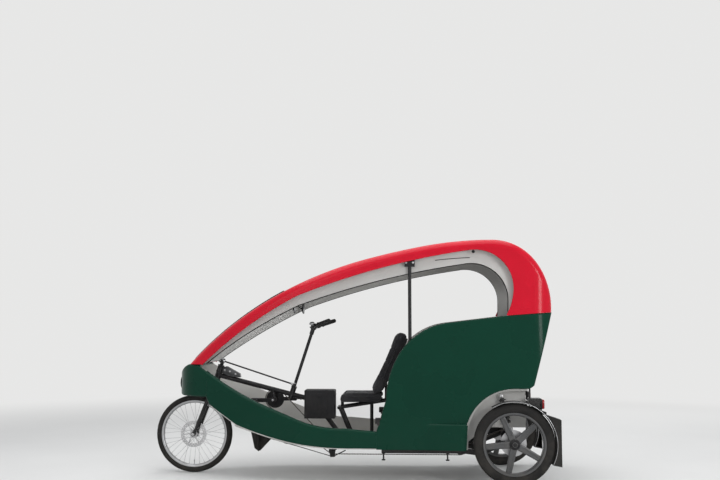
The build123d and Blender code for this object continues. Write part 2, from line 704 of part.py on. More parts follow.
# Fork
FORK_HALF = 62.0
CROWN_AT = 345.0
with BuildPart() as fork:
    axle = Vector(FRONT_AXLE_X, 0, FRONT_TYRE_R)
    crown = on_steer(CROWN_AT)
    add(tube(on_steer(CROWN_AT - 12), on_steer(HEAD_HIGH + 55), STEERER_R))
    add(tube((axle.X, -FORK_HALF - 8, axle.Z), (axle.X, FORK_HALF + 8, axle.Z), AXLE_R - 4))
    with BuildSketch(Plane(origin=crown, x_dir=(0, 1, 0), z_dir=steer_up)):
        RectangleRounded(2 * FORK_HALF + 36, 42, 12)
    extrude(amount=13, both=True)
    for side, sign in SIDES:
        y = sign * FORK_HALF
        foot = axle + Vector(0, y, 0)
        knee = on_steer(60, 20) + Vector(0, y, 0)
        top = on_steer(CROWN_AT + 10, 4) + Vector(0, y, 0)
        add(tube(knee, top, 14))
        add(tube(foot, knee, 11))
        add(Pos(*knee) * Sphere(14, mode=Mode.PRIVATE))
        add(tube(foot - Vector(0, 5, 0), foot + Vector(0, 5, 0), 17))
    arm_at = on_steer(HEAD_HIGH + 38)
    with BuildSketch(Plane(origin=arm_at, x_dir=steer_out, z_dir=steer_up)):
        with Locations((0, STEER_ARM / 2)):
            SlotCenterToCenter(STEER_ARM, 34, rotation=90)
    extrude(amount=5, both=True)
fork.part.label = "fork"
export_step(fork.part, "parts/fork.step")

with BuildPart() as front_caliper:
    spot = Vector(FRONT_AXLE_X, 38.6, FRONT_TYRE_R) + steer_up * 92 - steer_out * 12
    with BuildSketch(Plane(origin=spot, x_dir=steer_out, z_dir=(0, 1, 0))):
        RectangleRounded(36, 54, 6)
    extrude(amount=9.1, both=True)
    with BuildSketch(Plane(origin=spot + Vector(0, 0.4, 0), x_dir=steer_out, z_dir=(0, 1, 0))):
        with Locations((0, 14)):
            Rectangle(60, 60)
    extrude(amount=3.5, both=True, mode=Mode.SUBTRACT)
front_caliper.part.label = "front_caliper"
export_step(front_caliper.part, "parts/front_caliper.step")


def rear_tyre_section():
    """Low motor tyre on its bead: side walls, shoulders and a flat crown."""
    bead = REAR_BEAD_R
    neck = REAR_TYRE_NECK
    wall = [(bead + 11, neck), (bead + 32, REAR_TYRE_HALF), (REAR_TYRE_R - 18, REAR_TYRE_HALF - 5),
            (REAR_TYRE_R, 11)]
    far_wall = [(radius, -side) for radius, side in reversed(wall)]
    Polyline((bead, -neck), (bead, neck), *wall, *far_wall, (bead, -neck))


def rear_rim_section():
    """Cast rim with its well."""
    seat = REAR_BEAD_R - SEAT_GAP
    inner = REAR_TYRE_NECK + SEAT_GAP
    outer = inner + 4
    Polyline((seat, -inner), (seat + 10, -inner), (seat + 10, -outer), (seat - 4, -outer),
             (seat - 10, -outer + 8), (seat - 10, outer - 8), (seat - 4, outer), (seat + 10, outer),
             (seat + 10, inner), (seat, inner), (seat, -inner))


def rear_hub_section():
    """Cast hub, open inboard and closed by its cap outboard."""
    bore = AXLE_R + RUNNING_GAP
    end = HALF_TRACK_OUT - REAR_WHEEL_Y
    Polyline((bore, -62), (34, -62), (38, 30), (20, 44), (18, end), (0, end), (0, end - 10),
             (bore, end - 10), (bore, -62))


# One upright spoke of the left cast wheel: broad at the hub, hollowed along its outer face
left_axle = Axis((REAR_AXLE_X, 0, REAR_TYRE_R), (0, 1, 0))
SPOKE_HUB_R = 26.0
SPOKE_RIM_R = REAR_BEAD_R - 9
with BuildPart() as cast_spoke:
    for radius, width, depth in ((SPOKE_HUB_R, 50, 46), (SPOKE_RIM_R, 42, 30)):
        with BuildSketch(Plane.XY.offset(REAR_TYRE_R + radius)):
            with Locations((REAR_AXLE_X, REAR_WHEEL_Y)):
                RectangleRounded(width, depth, 9)
    loft()
    for radius, width, depth in ((SPOKE_HUB_R + 40, 26, 12), (SPOKE_RIM_R - 22, 16, 8)):
        with BuildSketch(Plane.XY.offset(REAR_TYRE_R + radius)):
            with Locations((REAR_AXLE_X, REAR_WHEEL_Y + 23 - (radius - SPOKE_HUB_R) * 0.045)):
                RectangleRounded(width, depth, 3)
    loft(mode=Mode.SUBTRACT)

for side, sign in SIDES:
    y = sign * REAR_WHEEL_Y
    with BuildPart() as rear_tyre:
        add(spun(rear_tyre_section, REAR_AXLE_X, REAR_TYRE_R, y))
    rear_tyre.part.label = "rear_tyre_" + side
    export_step(rear_tyre.part, "parts/rear_tyre_" + side + ".step")

    with BuildPart() as rear_rim:
        add(spun(rear_rim_section, REAR_AXLE_X, REAR_TYRE_R, REAR_WHEEL_Y))
        add(spun(rear_hub_section, REAR_AXLE_X, REAR_TYRE_R, REAR_WHEEL_Y))
        for index in range(CAST_SPOKES):
            add(cast_spoke.part.rotate(left_axle, CAST_SPOKE_LEAN + 360 / CAST_SPOKES * index))
        if sign < 0:
            mirror(about=Plane.XZ, mode=Mode.REPLACE)
    rear_rim.part.label = "rear_rim_" + side
    export_step(rear_rim.part, "parts/rear_rim_" + side + ".step")

    with BuildPart() as rear_disc:
        disc_y = sign * (REAR_WHEEL_Y - 55)
        add(tube((REAR_AXLE_X, disc_y - 1.5, REAR_TYRE_R), (REAR_AXLE_X, disc_y + 1.5, REAR_TYRE_R), 95))
        drill((REAR_AXLE_X, disc_y - 9, REAR_TYRE_R), (REAR_AXLE_X, disc_y + 9, REAR_TYRE_R), 34.8)
    rear_disc.part.label = "rear_disc_" + side
    export_step(rear_disc.part, "parts/rear_disc_" + side + ".step")

with BuildPart() as rear_calipers:
    for side, sign in SIDES:
        with Locations((REAR_AXLE_X + 88, sign * (REAR_WHEEL_Y - 55), REAR_TYRE_R - 10)):
            Box(50, 30, 58)
        with Locations((REAR_AXLE_X + 78, sign * (REAR_WHEEL_Y - 55), REAR_TYRE_R - 10)):
            Box(50, 9, 70, mode=Mode.SUBTRACT)
rear_calipers.part.label = "rear_calipers"
export_step(rear_calipers.part, "parts/rear_calipers.step")

# Rear lamps and flaps
with BuildPart() as lamp_brackets:
    for side, sign in SIDES:
        with Locations((-1357.2, sign * (CAB_HALF - 44), 600)):
            Box(84.4, 81.4, 40)
        with BuildSketch(Plane.XZ.offset(-sign * (CAB_HALF - 8.3))):
            with BuildLine():
                Polyline((-1315, 600), (-1389, 600), (-1392, 536), (-1440, 520), (-1440, 498),
                         (-1370, 505), (-1315, 585), (-1315, 600))
            make_face()
        extrude(amount=5, both=True)
        with Locations((-1328, sign * (CAB_HALF - 65), 650)):
            Box(10, 30, 83)
lamp_brackets.part.label = "lamp_brackets"
export_step(lamp_brackets.part, "parts/lamp_brackets.step")

with BuildPart() as tail_lamps:
    for side, sign in SIDES:
        with Locations((-1414.7, sign * (CAB_HALF - 65), 575)):
            Box(30, 110, 74)
    fillet(tail_lamps.edges().filter_by(Axis.X), 14)
tail_lamps.part.label = "tail_lamps"
export_step(tail_lamps.part, "parts/tail_lamps.step")

FLAP_END_X = -1532.0
FLAP_LOW_Z = 140.0
FLAP_WALL = 6.0
fender_in = REAR_TYRE_R + FENDER_GAP
fender_out = fender_in + FENDER_T
FENDER_SIDE = 8.0


def around_wheel(radius, turn):
    """Point round the rear axle, its turn in degrees from straight ahead, up over the wheel."""
    return REAR_AXLE_X + radius * cos(radians(turn)), REAR_TYRE_R + radius * sin(radians(turn))


def flap_line():
    """Side outline of the flap behind the fender."""
    top = around_wheel(fender_out - 1, 135)
    foot = around_wheel(fender_out - 1, 208)
    ThreePointArc(top, around_wheel(fender_out - 1, 172), foot)
    Polyline(foot, (FLAP_END_X, FLAP_LOW_Z), (FLAP_END_X, 472), top)


def fender_line():
    """Side outline of the fender's thin arched band."""
    front_in = around_wheel(fender_in, 59)
    front_out = around_wheel(fender_out, 59)
    back_in = around_wheel(fender_in, 208)
    back_out = around_wheel(fender_out, 208)
    ThreePointArc(front_in, around_wheel(fender_in, 133), back_in)
    Line(back_in, back_out)
    ThreePointArc(back_out, around_wheel(fender_out, 133), front_out)
    Line(front_out, front_in)


# Fenders with their flaps: a web outboard, a wall behind, open towards the cab
with BuildPart() as mudflaps:
    for side, sign in SIDES:
        outboard = sign * (REAR_WHEEL_Y + REAR_TYRE_HALF + FENDER_SIDE)
        inboard = sign * (CAB_HALF - 3)
        middle = (outboard + inboard) / 2
        half = abs(outboard - inboard) / 2
        with BuildSketch(Plane.XZ.offset(-middle)):
            with BuildLine():
                flap_line()
            make_face()
        extrude(amount=half, both=True)
        with BuildSketch(Plane.XZ.offset(-middle + sign * FLAP_WALL)):
            with BuildLine():
                flap_line()
            make_face()
            offset(amount=-FLAP_WALL)
        extrude(amount=half, both=True, mode=Mode.SUBTRACT)
        with BuildSketch(Plane.XZ.offset(-middle)):
            with BuildLine():
                fender_line()
            make_face()
        extrude(amount=half, both=True)
mudflaps.part.label = "mudflaps"
export_step(mudflaps.part, "parts/mudflaps.step")

with BuildPart() as headlamp:
    add(tube((NOSE_TIP_X - 45, 0, LAMP_Z), (NOSE_TIP_X + 2, 0, LAMP_Z), LAMP_R))
headlamp.part.label = "headlamp"
export_step(headlamp.part, "parts/headlamp.step")

with BuildPart() as front_flap:
    with BuildSketch(Plane.YZ.offset(730)):
        with BuildLine():
            Polyline((-90, 353.4), (90, 353.4), (60, 172), (-60, 172), (-90, 353.4))
        make_face()
    extrude(amount=6)
front_flap.part.label = "front_flap"
export_step(front_flap.part, "parts/front_flap.step")

# Seat for the rider: the frame's uprights run along the back's chord, behind its bulge
BACK_FRAME_R = 9.0
BACK_BULGE = 14.0
back_foot = Vector(-200, 0, 629)
back_top = Vector(-424, 0, 1090)
back_run = (back_top - back_foot).normalized()
back_out = Vector(-back_run.Z, 0, back_run.X)
back_middle = (back_foot + back_top) / 2 + back_out * BACK_BULGE
upright_shift = back_out * (BACK_BULGE + SEAT_GAP + BACK_FRAME_R)
upright_top = back_top - back_run * 40 + upright_shift
upright_foot_x = -262.0
upright_foot = upright_top - back_run * ((upright_top.X - upright_foot_x) / back_run.X)

with BuildPart() as seat_support:
    floor_top = FLOOR_Z + FLOOR_T
    for side, sign in SIDES:
        add(tube((115, sign * 60, 508), (-275, sign * 60, 568), 11))
        add(tube((-4, sign * 60, floor_top + 12), (95, sign * 60, 511), 14))
        add(tube((-150, sign * 60, floor_top + 12), (-150, sign * 60, 549), 11))
        with Locations((-75, sign * 60, floor_top + SEAT_GAP + 6)):
            Box(240, 46, 12)
        add(tube((80, sign * 60, 515), (80, sign * 60, 561.2), 8))
        add(tube((-225, sign * 60, 560), (-225, sign * 60, 582.6), 8))
        upright = [(upright_foot_x, sign * 60, 566), (upright_foot.X, sign * 60, upright_foot.Z),
                   (upright_top.X, sign * 60, upright_top.Z)]
        for bar in pipe_run(upright, BACK_FRAME_R):
            add(bar)
    for x, z in ((100, 510), (-260, 566)):
        add(tube((x, -60, z), (x, 60, z), 10))
seat_support.part.label = "seat_support"
export_step(seat_support.part, "parts/seat_support.step")

with BuildPart() as rider_seat:
    with BuildSketch(Plane.XZ):
        with BuildLine():
            Polyline((105, 560), (-250, 585), (-250, 630), (95, 618), (105, 560))
        make_face()
    extrude(amount=190, both=True)
    fillet(rider_seat.edges().filter_by(Axis.Y), 15)
rider_seat.part.label = "rider_seat"
export_step(rider_seat.part, "parts/rider_seat.step")

with BuildPart() as rider_back:
    with BuildSketch(Plane.XZ):
        with BuildLine():
            ThreePointArc((back_foot.X, back_foot.Z), (back_middle.X, back_middle.Z),
                          (back_top.X, back_top.Z))
            Line((back_top.X, back_top.Z), (-372, 1100))
            ThreePointArc((-372, 1100), (-262, 830), (-150, 627.5))
            Line((-150, 627.5), (back_foot.X, back_foot.Z))
        make_face()
    extrude(amount=190, both=True)
rider_back.part.label = "rider_back"
export_step(rider_back.part, "parts/rider_back.step")

with BuildPart() as battery_box:
    with Locations((245, MAIN_TUBE_R - 3 + SEAT_GAP + 80, 545)):
        Box(235, 160, 215)
    fillet(battery_box.edges().filter_by(Axis.Z), 14)
    chamfer(battery_box.faces().sort_by(Axis.Z)[-1].edges(), 6)
battery_box.part.label = "battery_box"
export_step(battery_box.part, "parts/battery_box.step")

with BuildPart() as mirrors:
    for side, sign in SIDES:
        add(tube((420, sign * 300, 1283), (432, sign * 300, 1283), 42))
        add(tube((430, sign * 300, 1283), (500, sign * 350, 1335), 5))
mirrors.part.label = "mirrors"
export_step(mirrors.part, "parts/mirrors.step")

# Handlebar on its column, and the link to the fork
BAR_AT = 520.0
with BuildPart() as handlebar:
    add(tube(on_column(BEARING_LOW + 14), on_column(BAR_AT), COLUMN_R))
    centre = on_column(BAR_AT)
    for side, sign in SIDES:
        bend = centre + Vector(0, sign * 130, 0)
        bar_end = centre + Vector(-145, sign * 270, 50)
        grip_start = bar_end + (bend - bar_end).normalized() * GRIP_LENGTH
        for bar in pipe_run([centre, bend, grip_start], BAR_R):
            add(bar)
        add(tube(grip_start, bar_end, GRIP_BAR_R))
    add(tube(centre - Vector(0, 30, 0), centre + Vector(0, 30, 0), 19))
    with BuildSketch(Plane(origin=on_column(34), x_dir=steer_out, z_dir=steer_up)):
        with Locations((0, STEER_ARM / 2)):
            SlotCenterToCenter(STEER_ARM, 34, rotation=90)
    extrude(amount=5, both=True)
handlebar.part.label = "handlebar"
export_step(handlebar.part, "parts/handlebar.step")

with BuildPart() as steering_rod:
    rod_back = on_column(34 + 14) + Vector(0, STEER_ARM, 0)
    rod_front = on_steer(HEAD_HIGH + 38 + 14) + Vector(0, STEER_ARM, 0)
    add(tube(rod_back, rod_front, 6))
    for end in (rod_back, rod_front):
        add(tube(end - steer_up * 8, end + steer_up * 8, 11))
steering_rod.part.label = "steering_rod"
export_step(steering_rod.part, "parts/steering_rod.step")

# Crank and pedals
CRANK_Y = 74.0
PEDAL_Y = 135.0
with BuildPart() as crank:
    add(tube((crank_x, -CRANK_Y, crank_z), (crank_x, CRANK_Y, crank_z), SPINDLE_R))
    for side, sign in SIDES:
        y = sign * CRANK_Y
        pin = (crank_x + sign * CRANK_LENGTH, crank_z)
        with BuildSketch(Plane.XZ.offset(-y)):
            with Locations(((crank_x + pin[0]) / 2, crank_z)):
                SlotCenterToCenter(CRANK_LENGTH, 30)
        extrude(amount=7, both=True)
        add(tube((pin[0], y, pin[1]), (pin[0], sign * (PEDAL_Y + 45), pin[1]), 6))
    add(tube((crank_x, CHAIN_Y - 2, crank_z), (crank_x, CHAIN_Y + 2, crank_z), CHAINRING_R - 1))
crank.part.label = "crank"
export_step(crank.part, "parts/crank.step")

for side, sign in SIDES:
    with BuildPart() as pedal:
        with Locations((crank_x + sign * CRANK_LENGTH, sign * PEDAL_Y, crank_z)):
            Box(88, 92, 24)
        drill((crank_x + sign * CRANK_LENGTH, -300, crank_z), (crank_x + sign * CRANK_LENGTH, 300, crank_z),
              6 + RUNNING_GAP)
    pedal.part.label = "pedal_" + side
    export_step(pedal.part, "parts/pedal_" + side + ".step")


# Chain: one closed loop from the chainring, under the floor between the idlers, to the sprocket
CHAIN_STOPS = (
    (crank_x, crank_z, CHAINRING_R),
    (IDLER_CENTRE[0], IDLER_CENTRE[1], IDLER_R),
    (REAR_IDLER[0], REAR_IDLER[1], IDLER_R),
    (REAR_AXLE_X, REAR_TYRE_R, SPROCKET_R),
)


def chain_span(first, second, grow):
    """Face round two wheels that the chain passes, each wheel grown by grow."""
    with BuildSketch(Plane.XZ.offset(-CHAIN_Y)) as span:
        with BuildLine():
            for x, z, radius in (first, second):
                CenterArc((x, z), radius + grow, 0, 360)
        make_hull()
    return span.sketch


with BuildPart() as chain:
    for grow, mode in ((1 + CHAIN_T, Mode.ADD), (1, Mode.SUBTRACT)):
        for first, second in zip(CHAIN_STOPS, CHAIN_STOPS[1:]):
            extrude(chain_span(first, second, grow), amount=CHAIN_W / 2, both=True, mode=mode)
chain.part.label = "chain"
export_step(chain.part, "parts/chain.step")
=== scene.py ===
"""Looks of a three-wheeled cycle rickshaw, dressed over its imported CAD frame, in metres.

+X points forwards, +Y to the vehicle's left and +Z up. Each finish is a frozen dataclass that
builds its own procedural material, and each sub-assembly is a class that models its pieces.
"""
import json
import logging
import math
from dataclasses import dataclass
from enum import Enum
from typing import Callable, Iterable, Sequence

import bpy
from mathutils import Matrix, Vector


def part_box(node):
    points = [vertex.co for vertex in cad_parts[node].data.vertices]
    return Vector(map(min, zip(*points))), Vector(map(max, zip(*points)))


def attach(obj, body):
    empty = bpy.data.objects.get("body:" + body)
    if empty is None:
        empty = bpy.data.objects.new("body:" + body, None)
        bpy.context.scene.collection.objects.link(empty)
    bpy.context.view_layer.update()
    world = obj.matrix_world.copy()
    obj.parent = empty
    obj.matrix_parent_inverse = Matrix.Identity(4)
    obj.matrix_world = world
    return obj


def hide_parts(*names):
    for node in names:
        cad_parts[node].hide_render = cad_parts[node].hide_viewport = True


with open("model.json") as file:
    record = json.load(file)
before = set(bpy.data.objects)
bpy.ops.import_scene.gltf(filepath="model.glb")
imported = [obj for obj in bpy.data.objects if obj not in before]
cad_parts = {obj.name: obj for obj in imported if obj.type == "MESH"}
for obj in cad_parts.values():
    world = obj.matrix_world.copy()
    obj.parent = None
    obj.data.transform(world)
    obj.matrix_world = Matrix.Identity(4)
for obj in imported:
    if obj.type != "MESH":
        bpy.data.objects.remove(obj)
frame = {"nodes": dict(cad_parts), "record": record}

log = logging.getLogger("cycle_rickshaw")
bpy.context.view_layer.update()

Piece, Face, Material = bpy.types.Object, bpy.types.MeshPolygon, bpy.types.Material
Node, Tree, Socket = bpy.types.Node, bpy.types.NodeTree, bpy.types.NodeSocket
FaceTest = Callable[[Face], bool]
Colour = tuple[float, float, float]
Point = Sequence[float]
Profile = Sequence[tuple[float, float]]
Spot = tuple[Point, Point]

SIDES = (("left", 1), ("right", -1))
FRONT_AXLE = (1.247, 0.0, 0.3)
REAR_AXLE = (-1.199, 0.295)
CRANK = (0.62, 0.567)
IDLERS = ((0.165, 0.165), (-0.84, 0.165))
CHAIN_Y = -0.062
ALONG_X, ALONG_Y, ALONG_Z = (1.0, 0.0, 0.0), (0.0, 1.0, 0.0), (0.0, 0.0, 1.0)

COAT_ROUGHNESS = 0.14
DUST_COLOUR = (0.17, 0.15, 0.125)
BACKDROP = (0.8, 0.8, 0.795, 1.0)


class Slot(Enum):
    """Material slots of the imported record."""

    GREEN_BODY = "green_body"
    RED_SHELL = "red_shell"
    LIGHT_PLASTIC = "light_plastic"
    CLEAR_SCREEN = "clear_screen"
    SMOKED_SCREEN = "smoked_screen"
    BLACK_STEEL = "black_steel"
    BLACK_PLASTIC = "black_plastic"
    RUBBER = "rubber"
    TYRE = "tyre"
    SILVER_ALLOY = "silver_alloy"
    GREY_ALLOY = "grey_alloy"
    DISC_STEEL = "disc_steel"
    SEAT_FABRIC = "seat_fabric"
    BENCH_FABRIC = "bench_fabric"
    LAMP_RED = "lamp_red"
    LAMP_CLEAR = "lamp_clear"
    CHAIN_STEEL = "chain_steel"
    MIRROR_BLACK = "mirror_black"


class Effect(Enum):
    """Shader node groups that several finishes share."""

    GRAIN = "surface_grain"
    DUST = "road_dust"
    RUB = "edge_rub"
    WEAVE = "cloth_weave"


class Board:
    """Node tree of one material or group, with short calls for its nodes and links."""

    def __init__(self, tree: Tree) -> None:
        """Keeps the tree.

        Args:
            tree: Node tree that the calls add to.
        """
        self.tree = tree

    def node(self, kind: str, **settings: object) -> Node:
        """Adds a node and sets its properties and input values.

        Args:
            kind: Node type's identifier.
            settings: Properties by name, and input values by "in_" and the socket's name.

        Returns:
            The new node.
        """
        made = self.tree.nodes.new(kind)
        for name, value in settings.items():
            if name.startswith("in_"):
                made.inputs[name[3:].replace("_", " ")].default_value = value
            else:
                setattr(made, name, value)
        return made

    def link(self, out: Socket, into: Socket) -> None:
        """Joins an output socket to an input socket."""
        self.tree.links.new(out, into)

    def fill(self, sockets: Iterable[Socket], values: Iterable[object]) -> None:
        """Links or sets input sockets in turn.

        Args:
            sockets: Inputs.
            values: An output socket, a number or a colour for each.
        """
        for socket, value in zip(sockets, values):
            if isinstance(value, Socket):
                self.link(value, socket)
            elif isinstance(value, (int, float)):
                socket.default_value = value
            else:
                socket.default_value = (*value, 1.0)

    def ramp(self, mask: Socket, low: object, high: object, kind: str = "SMOOTHSTEP") -> Socket:
        """Stretches a mask so that low becomes 0 and high becomes 1.

        Args:
            mask: Value between 0 and 1.
            low: Mask value that becomes 0, a socket or a number.
            high: Mask value that becomes 1, a socket or a number.
            kind: Map Range node's interpolation.

        Returns:
            The stretched value's socket.
        """
        made = self.node("ShaderNodeMapRange", interpolation_type=kind)
        self.fill([made.inputs[name] for name in ("Value", "From Min", "From Max")],
                  (mask, low, high))
        return made.outputs["Result"]

    def maths(self, operation: str, *terms: object) -> Socket:
        """Combines values.

        Args:
            operation: Math node's operation.
            terms: Sockets or numbers, in the node's order.

        Returns:
            The result's socket.
        """
        made = self.node("ShaderNodeMath", operation=operation)
        self.fill(made.inputs, terms)
        return made.outputs[0]

    def blend(self, share: object, first: object, second: object) -> Socket:
        """Mixes two colours by a share.

        Args:
            share: Socket or number, 0 for the first colour and 1 for the second.
            first: Socket or colour.
            second: Socket or colour.

        Returns:
            The mixed colour's socket.
        """
        made = self.node("ShaderNodeMix", data_type="RGBA")
        self.fill((made.inputs["Factor"], made.inputs[6], made.inputs[7]), (share, first, second))
        return made.outputs[2]

    def noise(self, place: Socket, scale: object, detail: float, roughness: float = 0.5) -> Socket:
        """Adds a noise texture.

        Args:
            place: Coordinates.
            scale: Socket or number.
            detail: Levels of detail.
            roughness: Strength of the finer levels.

        Returns:
            The noise value's socket.
        """
        made = self.node("ShaderNodeTexNoise", in_Detail=detail, in_Roughness=roughness)
        self.fill((made.inputs["Vector"], made.inputs["Scale"]), (place, scale))
        return made.outputs["Fac"]

    def place(self) -> Socket:
        """Object coordinates."""
        return self.node("ShaderNodeTexCoord").outputs["Object"]

    def split(self, vector: Socket) -> bpy.types.NodeOutputs:
        """Splits a vector into X, Y and Z."""
        apart = self.node("ShaderNodeSeparateXYZ")
        self.link(vector, apart.inputs[0])
        return apart.outputs

    def mix(self, share: object, first: Node, second: Node, out: Node) -> None:
        """Mixes two shaders by a share and sends the result to an output node.

        Args:
            share: Socket or number.
            first: Shader at share 0.
            second: Shader at share 1.
            out: Material's or world's output node.
        """
        both = self.node("ShaderNodeMixShader")
        self.fill(both.inputs, (share, first.outputs[0], second.outputs[0]))
        self.link(both.outputs[0], out.inputs["Surface"])


class EffectShelf:
    """Builds each shared node group once and hands it out."""

    def __init__(self) -> None:
        """Starts with no group built."""
        self.groups: dict[Effect, Tree] = {}

    def place(self, board: Board, effect: Effect, **values: float) -> Node:
        """Puts a shared effect in a material.

        Args:
            board: Material's board.
            effect: Effect to place.
            values: Input values by socket name.

        Returns:
            The group node.
        """
        if effect not in self.groups:
            self.groups[effect] = self._build(effect)
        made = board.node("ShaderNodeGroup", node_tree=self.groups[effect])
        for name, value in values.items():
            made.inputs[name].default_value = value
        return made

    def _build(self, effect: Effect) -> Tree:
        """Makes the node group of one effect."""
        makers: dict[Effect, Callable[[], Tree]] = {
            Effect.GRAIN: self._grain,
            Effect.DUST: self._dust,
            Effect.RUB: self._rub,
            Effect.WEAVE: self._weave,
        }
        return makers[effect]()

    @staticmethod
    def _new(effect: Effect, inputs: dict[str, float], outputs: Iterable[str]) -> tuple[
            Tree, Board, Node, Node]:
        """Starts a group with its float inputs and outputs.

        Args:
            effect: Effect that names the group.
            inputs: Input names with their defaults.
            outputs: Output names.

        Returns:
            The tree, its board, and its input and output nodes.
        """
        tree = bpy.data.node_groups.new(effect.value, "ShaderNodeTree")
        for name, value in inputs.items():
            socket = tree.interface.new_socket(name, in_out="INPUT", socket_type="NodeSocketFloat")
            socket.default_value = value
        for name in outputs:
            tree.interface.new_socket(name, in_out="OUTPUT", socket_type="NodeSocketFloat")
        board = Board(tree)
        return tree, board, board.node("NodeGroupInput"), board.node("NodeGroupOutput")

    def _grain(self) -> Tree:
        """Fine relief of a moulded or painted skin, and its slow change of tone."""
        tree, board, source, sink = self._new(
            Effect.GRAIN, {"Scale": 900.0, "Patch": 3.0}, ("Height", "Tone"))
        place = board.place()
        fine = board.noise(place, source.outputs["Scale"], 3.0, 0.6)
        slow = board.noise(place, source.outputs["Patch"], 4.0, 0.55)
        board.fill(sink.inputs, (fine, board.ramp(slow, 0.3, 0.7)))
        return tree

    def _dust(self) -> Tree:
        """Road dust: more of it low down and on faces that look up."""
        tree, board, source, sink = self._new(Effect.DUST, {"Reach": 0.6, "Amount": 0.5}, ("Mask",))
        place = board.place()
        rise = board.maths("DIVIDE", board.split(place)["Z"], source.outputs["Reach"])
        low = board.maths("SUBTRACT", 1.0, rise)
        facing = board.split(board.node("ShaderNodeNewGeometry").outputs["Normal"])["Z"]
        up = board.maths("MULTIPLY", board.maths("MAXIMUM", facing, 0.0), 0.35)
        fall = board.maths("MAXIMUM", board.maths("MULTIPLY", low, 0.8), up)
        cloud = board.ramp(board.noise(place, 14.0, 6.0, 0.65), 0.32, 0.72)
        mask = board.maths("MULTIPLY", board.maths("MULTIPLY", fall, cloud),
                           source.outputs["Amount"])
        mask.node.use_clamp = True
        board.link(mask, sink.inputs["Mask"])
        return tree

    def _rub(self) -> Tree:
        """Rubbed edges, broken up by noise."""
        tree, board, source, sink = self._new(Effect.RUB, {"Start": 0.53, "Full": 0.62}, ("Mask",))
        edge = board.ramp(board.node("ShaderNodeNewGeometry").outputs["Pointiness"],
                          source.outputs["Start"], source.outputs["Full"], "LINEAR")
        speck = board.ramp(board.noise(board.place(), 160.0, 5.0), 0.4, 0.66)
        board.link(board.maths("MULTIPLY", edge, speck), sink.inputs["Mask"])
        return tree

    def _weave(self) -> Tree:
        """Plain weave: two crossing thread waves, with a slow change of tone."""
        tree, board, source, sink = self._new(Effect.WEAVE, {"Threads": 900.0}, ("Height", "Tone"))
        place = board.place()
        spot = board.split(place)
        along = board.maths("ADD", spot["X"], board.maths("MULTIPLY", spot["Z"], 0.9))
        waves = [board.maths("SINE", board.maths("MULTIPLY", run, source.outputs["Threads"]))
                 for run in (along, spot["Y"])]
        height = board.maths("MULTIPLY_ADD", board.maths("MULTIPLY", *waves), 0.5, 0.5)
        slow = board.ramp(board.noise(place, 9.0, 5.0), 0.3, 0.7)
        board.fill(sink.inputs, (height, slow))
        return tree


SHELF = EffectShelf()


@dataclass(frozen=True)
class Finish:
    """Opaque finish: colour with its slow variation, grain relief, dust and rubbed edges."""

    slot: Slot
    colour: Colour
    second: Colour
    roughness: float = 0.4
    metallic: float = 0.0
    coat: float = 0.0
    sheen: float = 0.0
    specular: float = 0.14
    grain_scale: float = 700.0
    grain_depth: float = 0.00003
    patch: float = 3.0
    dust: float = 0.35
    dust_reach: float = 0.9
    rub: float = 0.0
    rub_colour: Colour = (0.3, 0.3, 0.3)
    weave: bool = False
    threads: float = 2200.0
    inner: Colour | None = None

    def material(self) -> Material:
        """Builds the finish, once.

        Returns:
            The material.
        """
        name = "finish_" + self.slot.value
        made = bpy.data.materials.get(name)
        if made is None:
            made = bpy.data.materials.new(name)
            made.use_nodes = True
            made.diffuse_color = (*self.colour, 1.0)
            self._settle(Board(made.node_tree), made.node_tree.nodes["Principled BSDF"])
        return made

    def _settle(self, board: Board, shader: Node) -> None:
        """Joins the effects to the shader.

        Args:
            board: Material's board.
            shader: Its Principled BSDF.
        """
        for name, value in (("Metallic", self.metallic), ("Coat Weight", self.coat),
                            ("Coat Roughness", COAT_ROUGHNESS),
                            ("Specular IOR Level", self.specular), ("Sheen Weight", self.sheen)):
            shader.inputs[name].default_value = value
        if self.weave:
            skin = SHELF.place(board, Effect.WEAVE, Threads=self.threads)
        else:
            skin = SHELF.place(board, Effect.GRAIN, Scale=self.grain_scale, Patch=self.patch)
        colour = board.blend(skin.outputs["Tone"], self.colour, self.second)
        if self.rub > 0:
            worn = SHELF.place(board, Effect.RUB)
            share = board.maths("MULTIPLY", worn.outputs["Mask"], self.rub)
            colour = board.blend(share, colour, self.rub_colour)
        if self.inner:
            colour = board.blend(self._inside(board), colour, self.inner)
        veil = SHELF.place(board, Effect.DUST, Reach=self.dust_reach, Amount=self.dust)
        colour = board.blend(veil.outputs["Mask"], colour, DUST_COLOUR)
        board.link(colour, shader.inputs["Base Color"])
        rough = board.maths("MULTIPLY_ADD", veil.outputs["Mask"], 0.5, self.roughness)
        toned = board.maths("MULTIPLY_ADD", skin.outputs["Tone"], 0.07, rough)
        board.link(toned, shader.inputs["Roughness"])
        bump = board.node("ShaderNodeBump", in_Strength=1.0, in_Distance=self.grain_depth)
        board.link(skin.outputs["Height"], bump.inputs["Height"])
        board.link(bump.outputs["Normal"], shader.inputs["Normal"])

    @staticmethod
    def _inside(board: Board) -> Socket:
        """Mask of the faces that look in to the middle of the vehicle."""
        normal = board.split(board.node("ShaderNodeNewGeometry").outputs["Normal"])
        spot = board.split(board.place())
        across, along = (
            board.maths("MULTIPLY", board.maths("MULTIPLY", normal[axis], spot[axis]), weight)
            for axis, weight in (("Y", -3.0), ("X", -0.3)))
        return board.ramp(board.maths("ADD", across, along), 0.2, 0.3)


